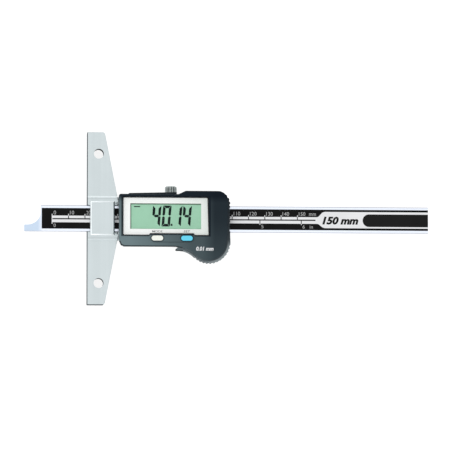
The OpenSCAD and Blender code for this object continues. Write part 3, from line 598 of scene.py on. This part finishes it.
film_black = printed("film_black", (0.005, 0.005, 0.005), (0.007, 0.007, 0.007), 0.4, 0.05)
ink_white = printed("ink_white", (0.72, 0.72, 0.73), (0.76, 0.76, 0.77), 0.5)
ink_pale = printed("ink_pale", (0.38, 0.38, 0.38), (0.42, 0.42, 0.42), 0.5)
ink_black = printed("ink_black", (0.006, 0.006, 0.006), (0.008, 0.008, 0.008), 0.45)
ink_grey = printed("ink_grey", (0.13, 0.14, 0.14), (0.16, 0.17, 0.17), 0.5)
display_green = printed("display_green", (0.33, 0.59, 0.42), (0.355, 0.63, 0.45), 0.35)
display_shade = printed("display_shade", (0.10, 0.16, 0.115), (0.12, 0.19, 0.135), 0.4)
segment_dark = printed("segment_dark", (0.003, 0.007, 0.007), (0.005, 0.010, 0.010), 0.3)
print("ink on the film:", ink_white.name, ink_pale.name, ink_black.name)

# %% [markdown]
# ## The window
# The window is thin clear plastic. Real refraction would darken the display and slow the render.
# A sheet with a low alpha keeps the faint glint and the smudges, and lets everything else through.

# %% The window
WINDOW_ALPHA, WINDOW_GLOSS = 0.025, 0.3
window_clear, tree, shader = start_material("window_clear", (0.02, 0.03, 0.03), 0.0, 0.04)
shader.inputs["Alpha"].default_value = WINDOW_ALPHA
set_gloss(window_clear, WINDOW_GLOSS)
touched_gloss(tree, shader, 0.02, 0.06, scale=60.0)
print("window:", window_clear.name, "with alpha", WINDOW_ALPHA)

# %% [markdown]
# ## Dress the solids
# The inner pieces, the thin film, the display glass, the end stop and the small screws keep their
# solids and only get a material. Their edges are covered, or so small that a round on them would
# not show.

# %% Materials of the solids that stay
finish_of = {
    "scale_strip": laminate,
    "scale_film": film_black,
    "end_stop": pale_painted_channel_steel,
    "end_stop_screws": screw_steel,
    "base_screws": screw_steel,
    "gib_strip": bronze,
    "gib_screws": screw_steel,
    "shell_gasket": seal_rubber,
    "shell_screws": screw_steel,
    "window_gasket": seal_rubber,
    "lcd_panel": display_green,
    "lcd_holder": pale_plastic,
    "zebra_strips": seal_rubber,
    "circuit_board": laminate,
    "chip": chip_black,
    "key_switches": cell_steel,
    "battery": cell_steel,
    "battery_contacts": bronze,
    "battery_seal": seal_rubber,
    "battery_cover_screws": screw_steel,
}
for node, material in finish_of.items():
    mesh = frame["nodes"][node].data
    mesh.materials.clear()
    mesh.materials.append(material)
print("dressed solids:", len(finish_of))

# %% [markdown]
# ## Soft edges
# The solids have their true form, but real parts have no razor edges. A bevel modifier would
# round every edge alike, and one short edge could shrink all the rounds to nothing. So a twin of
# each visible solid is made from its own mesh: flat neighbours are joined again, each sharp edge
# with enough room gets a small round, tight corners stay, and the twin takes the solid's place.

# %% Link a piece to its body
body_of = {
    node: body
    for body, members in frame["record"]["behaviour"]["bodies"].items()
    for node in members
}


def link(name, mesh, material, body):
    """Puts a mesh into the scene as a piece that rides on that body."""
    piece = bpy.data.objects.new(name, mesh)
    bpy.context.scene.collection.objects.link(piece)
    mesh.materials.clear()
    mesh.materials.append(material)
    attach(piece, body)
    return piece


print("nodes with a body:", len(body_of))

# %% Choose the edges
SHORT, NARROW = 1.2, 2.2
ROUND_FROM, SHARP_FROM = math.radians(32.0), math.radians(50.0)


def bends(edge, angle):
    """Whether the two faces at an edge turn by more than that angle."""
    return len(edge.link_faces) == 2 and edge.calc_face_angle() > angle


def edges_to_round(twin, width, clamp):
    """The sharp edges with room for a round; clamp takes the tight ones as well."""
    tight = {vert for edge in twin.edges if edge.calc_length() < SHORT * width for vert in edge.verts}
    for face in twin.faces:
        longest = max(edge.calc_length() for edge in face.edges)
        if face.calc_area() < NARROW * width * longest:
            tight.update(face.verts)
    return [
        edge for edge in twin.edges
        if bends(edge, ROUND_FROM) and (clamp or not tight.intersection(edge.verts))
    ]


print("rounded from", round(math.degrees(ROUND_FROM)), "degrees")

# %% Make a soft-edged twin
WELD, FLAT = 0.012 * MM, math.radians(0.6)


def soft_edged(node, material, width, edge_material=None, clamp=False):
    """A twin of a CAD solid with rounded edges, which stands for that solid."""
    twin = bmesh.new()
    twin.from_mesh(frame["nodes"][node].data)
    bmesh.ops.remove_doubles(twin, verts=twin.verts, dist=WELD)
    bmesh.ops.dissolve_limit(
        twin, angle_limit=FLAT, verts=twin.verts, edges=twin.edges, delimit={"NORMAL"},
    )
    bmesh.ops.bevel(
        twin, geom=edges_to_round(twin, width, clamp), offset=width, offset_type="OFFSET",
        segments=2, profile=0.5, affect="EDGES", clamp_overlap=clamp, miter_outer="ARC",
        material=0 if edge_material is None else 1,
    )
    for face in twin.faces:
        face.smooth = True
    for edge in twin.edges:
        if bends(edge, SHARP_FROM):
            edge.smooth = False
    mesh = bpy.data.meshes.new(node + "_soft")
    twin.to_mesh(mesh)
    twin.free()
    piece = link(node + "_soft", mesh, material, body_of[node])
    if edge_material is not None:
        mesh.materials.append(edge_material)
    # Flat faces stay flat where small rounds meet them
    modifier = piece.modifiers.new("Flat faces", "WEIGHTED_NORMAL")
    modifier.keep_sharp = True
    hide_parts(node)
    return piece


print("points are joined within", WELD / MM, "mm")

# %% The twins, each with its finish and the width of its rounds
# The base's rounds take the edge steel, a painted highlight
for node, material, width in (
    ("base", base_steel, 0.22 * MM),
    ("slider_frame", pale_painted_channel_steel, 0.12 * MM),
    ("beam", beam_steel, 0.06 * MM),
    ("front_shell", front_plastic, 0.12 * MM),
    ("rear_shell", rear_plastic, 0.12 * MM),
    ("battery_cover", cover_plastic, 0.12 * MM),
    ("display_bezel", pale_plastic, 0.06 * MM),
    ("window", window_clear, 0.12 * MM),
    ("lock_screw", knob_steel, 0.02 * MM),
    ("unit_button", key_ivory, 0.30 * MM),
    ("zero_button", key_blue, 0.30 * MM),
):
    twin = soft_edged(node, material, width, edge_steel if node == "base" else None, "button" in node)
    print(twin.name, len(twin.data.polygons), "faces")

# %% [markdown]
# ## Faces that are finished otherwise
# One steel piece can carry several finishes, and most of these are painted light and shade. The
# measuring face is matt grey, a painted dark reflection, the two bores are matt grey, a painted
# shade, and the face's arris is painted dark. The panel's chamfers are pale, a painted highlight,
# the beam's long chamfers are grey, a painted shade, and the knob's flutes are painted shade.
# The housing's lower edge turns away from the light, and its darker plastic is painted shade.
# Each finish could be a mask, but its border would blur. So the faces are picked by their place
# and direction instead.

# %% Pick faces by their place


def refinish(node, material, belongs):
    """Gives some faces of a twin another material; belongs takes a face's centre in mm and normal."""
    mesh = bpy.data.objects[node + "_soft"].data
    mesh.materials.append(material)
    faces = [face for face in mesh.polygons if belongs(face.center / MM, face.normal)]
    for face in faces:
        face.material_index = len(mesh.materials) - 1
    print(node, material.name, len(faces), "faces")


print("helper: refinish")

# %% Faces of the base
FACE_X, END_Y, PANEL_Z = 0.3, -52.3, 4.4
HOLE_X, HOLE_Y, BORE_R = 7.0, 39.5, 3.1


def on_panel_chamfer(c, n):
    return c.z > PANEL_Z and 0.5 < n.z < 0.9 and n.x < 0.3


def lapped_or_bored(c, n):
    if (n.x < -0.95 and c.x < FACE_X) or (n.y < -0.95 and c.y < END_Y):
        return True
    return abs(n.z) < 0.3 and math.hypot(c.x - HOLE_X, abs(c.y) - HOLE_Y) < BORE_R


def arris(c, n):
    return (-0.95 < n.x < -0.3 and c.x < FACE_X) or (-0.95 < n.y < -0.3 and c.y < END_Y)


# Painted highlight on the panel's chamfers
refinish("base", edge_steel, on_panel_chamfer)
# Painted dark reflection on the measuring and end faces, painted shade in the bores, and a painted dark
# arris
refinish("base", painted_dark_steel, lapped_or_bored)
refinish("base", arris_steel, arris)

# %% Faces of the beam, the knob and the housing
BEAM_SIDE = 7.7
KNOB_X, KNOB_Y, FLUTE_R = 51.2, 13.6, 3.5
SKIRT_X, SKIRT_Y = 58.0, -14.5


def in_flute(c, n):
    return c.y > KNOB_Y and abs(n.y) < 0.5 and math.hypot(c.x - KNOB_X, c.z) < FLUTE_R


# Painted shade on the beam's long chamfers
refinish("beam", beam_chamfer_shade_steel, lambda c, n: c.y > BEAM_SIDE and n.y > 0.3)
refinish("beam", beam_side_painted_shade, lambda c, n: c.y < -BEAM_SIDE and n.y < -0.3)
# Painted shade in the knob's flutes
refinish("lock_screw", shaded_flute_steel, in_flute)
# Painted shade on the housing's lower edge
for node in ("front_shell", "rear_shell"):
    refinish(node, skirt_painted_shade, lambda c, n: n.y < -0.25 and c.y < SKIRT_Y and c.x < SKIRT_X)

# %% [markdown]
# ## The printed scale
# The film in the beam's groove carries two white stripes, one for millimetres and one for inches,
# with short black divisions and figures beside them. Past the last division the stripes open into
# a pale field. Print could be an image, but thin plates of ink stay crisp and travel with the beam.

# %% Plates of ink
INK = 0.012 * MM


def plate(shape, points, z, thickness):
    """Adds to a bmesh a thin plate with that outline in millimetres, from z upwards."""
    low = [shape.verts.new((x * MM, y * MM, z)) for x, y in points]
    high = [shape.verts.new((x * MM, y * MM, z + thickness)) for x, y in points]
    shape.faces.new(list(reversed(low)))
    shape.faces.new(high)
    for i in range(len(points)):
        j = (i + 1) % len(points)
        shape.faces.new((low[i], low[j], high[j], high[i]))


def rectangle(x0, x1, y0, y1):
    """The corners of an upright rectangle."""
    return [(x0, y0), (x1, y0), (x1, y1), (x0, y1)]


def finish_plates(shape, name, material, body):
    """Turns the plates of a bmesh into one piece."""
    mesh = bpy.data.meshes.new(name)
    shape.to_mesh(mesh)
    shape.free()
    return link(name, mesh, material, body)


print("ink is", INK / MM, "mm thick")

# %% Places of the divisions
film_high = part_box("scale_film")[1]
film_top = film_high.z
beam_end = film_high.x / MM
ZERO_X = -21.3
mm_ticks = [ZERO_X + 10 * i for i in range(16)]
inch_ticks = [ZERO_X + 25.4 * i for i in range(1, 7)]
print("divisions:", len(mm_ticks), "for millimetres and", len(inch_ticks), "for inches")

# %% [markdown]
# One outline holds both stripes and the field. The black middle line is laid over it later, so
# it reads as two stripes. Short white ticks stand off it, at each ten millimetres and each inch.

# %% White stripes and the pale field
STRIPE_TOP, STRIPE_LOW = 1.69, -2.40
FIELD_X, FIELD_HALF = 145.0, 5.0
WHITE_HALF, JOIN = 0.2, 0.01
white = bmesh.new()
stripe = [
    (ZERO_X - WHITE_HALF, STRIPE_LOW), (FIELD_X - 4.3, STRIPE_LOW), (FIELD_X - 3.4, STRIPE_LOW - 0.15),
    (FIELD_X - 1.0, -FIELD_HALF + 0.5), (FIELD_X + 0.6, -FIELD_HALF), (beam_end, -FIELD_HALF),
    (beam_end, FIELD_HALF), (FIELD_X + 0.6, FIELD_HALF), (FIELD_X - 1.0, FIELD_HALF - 0.5),
    (FIELD_X - 3.4, STRIPE_TOP + 0.25), (FIELD_X - 4.3, STRIPE_TOP), (ZERO_X - WHITE_HALF, STRIPE_TOP),
]
plate(white, stripe, film_top, INK)
# Each row holds the middles of ticks and the lower and upper end of them
for middles, low, high in (
    ([ZERO_X], STRIPE_TOP + JOIN, 2.7),
    ([ZERO_X], -3.4, STRIPE_LOW - JOIN),
    (mm_ticks[1:], STRIPE_TOP + JOIN, 2.75),
    (inch_ticks, -3.2, STRIPE_LOW - JOIN),
):
    for x in middles:
        plate(white, rectangle(x - WHITE_HALF, x + WHITE_HALF, low, high), film_top, INK)
finish_plates(white, "scale_white", ink_white, "beam")
print("white ink from x =", ZERO_X, "to", round(beam_end, 1), "mm")

# %% [markdown]
# The divisions go on as black bars across each stripe. They are a little wider than in reality,
# because a thin dark line between white neighbours fades when both share a pixel. The long bar at
# the far end starts with a half round, drawn with a point every ten degrees.

# %% Black divisions, middle line and long bar
LINE_TOP, LINE_LOW, LINE_END = 0.14, -0.61, 139.8
BLACK_HALF = 0.27
BAR_X, BAR_TOP, BAR_LOW = 168.85, 3.6, -4.1
black = bmesh.new()
bar_r = (BAR_TOP - BAR_LOW) / 2
bar_y = (BAR_TOP + BAR_LOW) / 2
nose = [
    (BAR_X + bar_r * (1 + math.cos(math.radians(a))), bar_y + bar_r * math.sin(math.radians(a)))
    for a in range(90, 271, 10)
]
outlines = [rectangle(ZERO_X + WHITE_HALF, LINE_END, LINE_LOW, LINE_TOP)]
for x in mm_ticks[1:]:
    outlines.append(rectangle(x - BLACK_HALF, x + BLACK_HALF, LINE_TOP + JOIN, STRIPE_TOP))
for x in inch_ticks:
    outlines.append(rectangle(x - BLACK_HALF, x + BLACK_HALF, STRIPE_LOW, LINE_LOW - JOIN))
outlines.append(nose + [(beam_end, BAR_LOW), (beam_end, BAR_TOP)])
for outline in outlines:
    plate(black, outline, film_top + INK, INK)
finish_plates(black, "scale_black_marks", ink_black, "beam")
print("black ink:", len(outlines), "plates, bar from x =", BAR_X, "mm")

# %% [markdown]
# ## Lettering
# Figures could be drawn point by point, but Blender's built-in font is plain enough. A text
# object gives the mesh of each word, which is then scaled to its own height and width, moved to
# its place and, on the housing, lowered with the face. Words of one ink and place become a piece.

# %% The mesh of one word


def word_mesh(text, slant, bold, thickness):
    """A word in the built-in font, not yet scaled or moved."""
    curve = bpy.data.curves.new("word", "FONT")
    curve.body = text
    curve.resolution_u = 3
    curve.offset = bold
    curve.extrude = thickness / 2 / MM
    curve.shear = slant
    holder = bpy.data.objects.new("word", curve)
    bpy.context.scene.collection.objects.link(holder)
    mesh = bpy.data.meshes.new_from_object(
        holder.evaluated_get(bpy.context.evaluated_depsgraph_get()))
    bpy.data.objects.remove(holder)
    bpy.data.curves.remove(curve)
    return mesh


print("helper: word_mesh")

# %% Words as one piece


def lettering(name, words, z, material, body, thickness=INK, drop=None, bold=0.0):
    """Words as thin plates. Each is (text, left x, low y, height, width or None, slant) in mm."""
    whole = bmesh.new()
    for text, x, y, height, width, slant in words:
        mesh = word_mesh(text, slant, bold, thickness)
        xs = [v.co.x for v in mesh.vertices]
        ys = [v.co.y for v in mesh.vertices]
        tall = height / (max(ys) - min(ys))
        wide = tall if width is None else width / (max(xs) - min(xs))
        for v in mesh.vertices:
            v.co = Vector((
                (x + (v.co.x - min(xs)) * wide) * MM,
                (y + (v.co.y - min(ys)) * tall) * MM,
                z + thickness / 2 + v.co.z * MM,
            ))
            if drop is not None:
                v.co.z += drop(v.co.x / MM, v.co.y / MM) * MM
        whole.from_mesh(mesh)
        bpy.data.meshes.remove(mesh)
    print(name, len(words), "words")
    return finish_plates(whole, name, material, body)


print("helper: lettering")

# %% [markdown]
# Each stripe has its own row of figures: tens of millimetres above, whole inches below, and the
# two units past the last of them. The range stands on the pale field, in slanted letters.

# %% Figures on the film
BESIDE = 0.9
words = [("0", ZERO_X + BESIDE, 2.3, 2.4, None, 0.0), ("0", ZERO_X + BESIDE, -5.3, 2.1, None, 0.0)]
for i, x in enumerate(mm_ticks[1:], 1):
    words.append((str(10 * i), x + BESIDE, 2.4, 2.3, 2.5 if i < 10 else 4.0, 0.0))
for i, x in enumerate(inch_ticks, 1):
    words.append((str(i), x + 0.8, -5.35, 2.1, 1.35, 0.0))
words.append(("mm", mm_ticks[-1] + 7.2, 2.45, 1.6, 4.2, 0.0))
words.append(("in", inch_ticks[-1] + 5.2, -5.3, 1.9, 1.9, 0.0))
lettering("scale_figures", words, film_top, ink_pale, "beam")
lettering("range_mark", [("150 mm", 144.0, -2.8, 4.9, 22.2, 0.25)],
          film_top + INK, ink_black, "beam", bold=0.05)

# %% [markdown]
# ## The display
# A liquid crystal draws each digit with up to seven bars that lean a little. The bars are plates
# just in front of the green glass, mitred at their ends as real segments are, so that thin pale
# gaps show between them. A font would not give these gaps.

# %% Bars of a digit
DIGIT_W, DIGIT_H, DIGIT_Y = 5.15, 12.75, -5.0
BAR_HALF, GAP, LEAN, SHOULDER = 0.79, 0.14, 0.083, 0.6


def lying_bar(kind):
    """The top bar a, the middle bar g or the low bar d; only the middle one has pointed ends."""
    half = BAR_HALF
    y = {"a": DIGIT_H - half, "g": DIGIT_H / 2, "d": half}[kind]
    x0, x1 = half + GAP, DIGIT_W - half - GAP
    if kind == "g":
        return [(x0, y), (x0 + half, y - half), (x1 - half, y - half),
                (x1, y), (x1 - half, y + half), (x0 + half, y + half)]
    taper = half if kind == "a" else -half
    return [(x0 + taper, y - half), (x1 - taper, y - half),
            (x1 + taper, y + half), (x0 - taper, y + half)]


def standing_bar(kind):
    """A bar at the left (f above, e below) or the right (b above, c below)."""
    half, middle = BAR_HALF, DIGIT_H / 2
    x, outer = (half, -half) if kind in "ef" else (DIGIT_W - half, half)
    if kind in "ce":
        y0, y1 = half + GAP, middle - GAP
        outer_low, outer_high = y0 - half, y1 - half * SHOULDER
    else:
        y0, y1 = middle + GAP, DIGIT_H - half - GAP
        outer_low, outer_high = y0 + half * SHOULDER, y1 + half
    return [(x, y0), (x - outer, y0 + half), (x - outer, y1 - half),
            (x, y1), (x + outer, outer_high), (x + outer, outer_low)]


def segment(kind, x):
    """The outline of segment a to g of a digit whose lower left corner is at x, leaning."""
    points = lying_bar(kind) if kind in "agd" else standing_bar(kind)
    placed = [(x + px + LEAN * py, DIGIT_Y + py) for px, py in points]
    area = sum(a[0] * b[1] - b[0] * a[1] for a, b in zip(placed, placed[1:] + placed[:1]))
    return placed if area > 0 else placed[::-1]


# %% Digits, point and dash
glass_low, glass_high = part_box("lcd_panel")
LIT = {"0": "abcdef", "1": "bc", "4": "bcfg"}
READING = (("4", 38.85), ("0", 45.05), ("1", 51.65), ("4", 57.45))
ON_GLASS, BAR_THICK = glass_high.z + 0.01 * MM, 0.03 * MM
POINT, DASH = rectangle(50.65, 51.75, -4.6, -3.4), rectangle(28.3, 32.0, 6.75, 7.35)
digits = bmesh.new()
outlines = [segment(kind, x) for text, x in READING for kind in LIT[text]]
for outline in outlines + [POINT, DASH]:
    plate(digits, outline, ON_GLASS, BAR_THICK)
finish_plates(digits, "display_digits", segment_dark, "slider")
print("display reads", READING[0][0] + READING[1][0] + "." + READING[2][0] + READING[3][0])

# %% [markdown]
# The opening's upper and left walls leave a narrow shade on the glass. The lamps here are too
# soft to draw it, so it is laid on as two thin strips, which don't overlap in the corner.

# %% Shade at the rim of the display
GLASS_RIM = 1.4
VIEW_LEFT, VIEW_LOW = glass_low.x / MM + GLASS_RIM, glass_low.y / MM + GLASS_RIM
VIEW_RIGHT, VIEW_TOP = glass_high.x / MM - GLASS_RIM, glass_high.y / MM - GLASS_RIM
SHADE_TOP, SHADE_LEFT, SHADE_THICK = 0.65, 0.6, 0.01 * MM
shade = bmesh.new()
for strip in (
    rectangle(VIEW_LEFT, VIEW_RIGHT, VIEW_TOP - SHADE_TOP, VIEW_TOP),
    rectangle(VIEW_LEFT, VIEW_LEFT + SHADE_LEFT, VIEW_LOW, VIEW_TOP - SHADE_TOP - JOIN),
):
    plate(shade, strip, ON_GLASS, SHADE_THICK)
finish_plates(shade, "display_shade", display_shade, "slider")
print("shade:", SHADE_TOP, "mm at the top and", SHADE_LEFT, "mm at the left")

# %% [markdown]
# ## Words at the keys and on the housing
# Each key is named in small grey letters on the pale frame. The resolution stands in white at the
# housing's lower right, where the face falls away to the right and to the lower edge. Its letters
# have to follow the face, so each of their points is lowered by the slope under it.

# %% Words at the keys
bezel_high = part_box("display_bezel")[1]
lettering("key_words", [("MODE", 39.3, -8.7, 1.3, 6.3, 0.0), ("SET", 58.6, -8.7, 1.3, 3.8, 0.0)],
          bezel_high.z, ink_grey, "slider", bold=0.01)

# %% The resolution on the housing
HOUSING_Z, LETTER_LIFT, LETTER_THICK = 9.5, 0.015 * MM, 0.03 * MM
SLOPE_X, SLOPE_Y = 75.5, -15.4
RIGHT_FALL, LOW_FALL = math.tan(math.radians(7.9)), math.tan(math.radians(8.0))


def face_drop(x, y):
    """How far the housing's face lies below its flat part, in mm, as a number below zero."""
    right = max(0.0, x - SLOPE_X) * RIGHT_FALL
    down = max(0.0, SLOPE_Y - y) * LOW_FALL
    return -max(right, down)


lettering("resolution_mark", [("0.01 mm", 66.1, -19.8, 2.5, 10.6, 0.15)],
          HOUSING_Z * MM + LETTER_LIFT, ink_white, "slider",
          LETTER_THICK, face_drop, 0.035)
print("housing face at z =", HOUSING_Z, "mm")

# %% [markdown]
# ## Floor
# The gauge was photographed on a white sweep. A floor of plain white would throw much light back
# at the steel and still look grey. This floor is a mid grey to the lamps, and it glows only for
# the camera and for mirrors and glass, so it looks white and keeps the object's own shadow.

# %% Floor
UNDER_BASE, FLOOR_HALF, FLOOR_CELLS = 0.0004, 3.0, 24
base_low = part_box("base")[0].z
sheet = bmesh.new()
bmesh.ops.create_grid(sheet, x_segments=FLOOR_CELLS, y_segments=FLOOR_CELLS, size=FLOOR_HALF)
for v in sheet.verts:
    v.co.z = base_low - UNDER_BASE
floor_mesh = bpy.data.meshes.new("floor")
sheet.to_mesh(floor_mesh)
sheet.free()
floor = bpy.data.objects.new("floor", floor_mesh)
bpy.context.scene.collection.objects.link(floor)
print("floor at z =", round((base_low - UNDER_BASE) / MM, 2), "mm")

# %% The floor's finish
GLOW = 0.85
floor_white, tree, shader = start_material("floor_white", (0.32, 0.32, 0.32), 0.0, 0.9)
set_gloss(floor_white, 0.0)
path = tree.nodes.new("ShaderNodeLightPath")
seen = path.outputs["Is Camera Ray"]
for ray in ("Is Glossy Ray", "Is Transmission Ray"):
    seen = math_node(tree, "MAXIMUM", seen, path.outputs[ray])
shader.inputs["Emission Color"].default_value = (1.0, 1.0, 1.0, 1.0)
tree.links.new(math_node(tree, "MULTIPLY", seen, GLOW), shader.inputs["Emission Strength"])
floor_mesh.materials.append(floor_white)
print("floor glows at", GLOW, "for the camera")

# %% [markdown]
# ## Light
# Three large soft lamps and a pale sky stand for a light tent. Small lamps would draw hard
# shadows and burn out the steel. The strongest side lamp stands at the lower left, so the shadows
# fall softly to the upper right.

# %% World
SKY_TINT, SKY_STRENGTH = (0.98, 0.99, 1.0, 1.0), 0.78
world = bpy.data.worlds.new("studio")
bpy.context.scene.world = world
world.use_nodes = True
sky = world.node_tree.nodes["Background"]
sky.inputs["Color"].default_value = SKY_TINT
sky.inputs["Strength"].default_value = SKY_STRENGTH
print("sky:", world.name, "at", SKY_STRENGTH)

# %% Lamps
MIDDLE = (0.084, -0.004, 0.0)


def soft_light(name, place, size, watts):
    """A large square lamp that faces the middle of the gauge."""
    data = bpy.data.lights.new(name, "AREA")
    data.size = size
    data.energy = watts
    lamp = bpy.data.objects.new(name, data)
    bpy.context.scene.collection.objects.link(lamp)
    lamp.location = Vector(place)
    lamp.rotation_euler = (Vector(MIDDLE) - Vector(place)).to_track_quat("-Z", "Y").to_euler()
    print("lamp:", name, watts, "W")


soft_light("overhead_sheet", (0.0, -0.1, 2.4), 2.2, 7.0)
soft_light("lower_left_key", (-0.9, -1.3, 1.1), 1.8, 12.2)
soft_light("upper_left_fill", (-0.9, 1.3, 1.1), 1.8, 7.8)

# %% [markdown]
# ## Camera
# The photograph was taken with a long lens, almost straight above, a little from the left and
# from the near side. The lens follows from the distance and from how many pixels a millimetre
# takes. The base stands upright in the picture, so the camera's up side follows the base.

# %% Lens
PHOTO_W, PIXELS_PER_MM = 450, 1.639
DISTANCE, FAR_END, SENSOR = 2.5, 20.0, 36.0
view_width = PHOTO_W / PIXELS_PER_MM * MM
camera_data = bpy.data.cameras.new("camera")
camera_data.sensor_width = SENSOR
camera_data.lens = SENSOR * DISTANCE / view_width
camera_data.clip_end = FAR_END
print("camera lens:", round(camera_data.lens, 1), "mm")

# %% Place of the camera
AIM = Vector((0.0841, -0.00363, 0.004))
LEFT, NEAR = math.radians(4.7), math.radians(4.5)
camera = bpy.data.objects.new("camera", camera_data)
bpy.context.scene.collection.objects.link(camera)
depth = Vector((-math.sin(LEFT), -math.sin(NEAR), 1.0)).normalized()
camera.location = AIM + depth * DISTANCE
along_base = Vector((0.0, 1.0, 0.0))
up_axis = (along_base - along_base.dot(depth) * depth).normalized()
right_axis = up_axis.cross(depth)
camera.rotation_euler = Matrix((right_axis, up_axis, depth)).transposed().to_euler()
bpy.context.scene.camera = camera
bpy.context.scene.view_settings.view_transform = "Standard"
print("camera at", [round(c, 3) for c in camera.location])
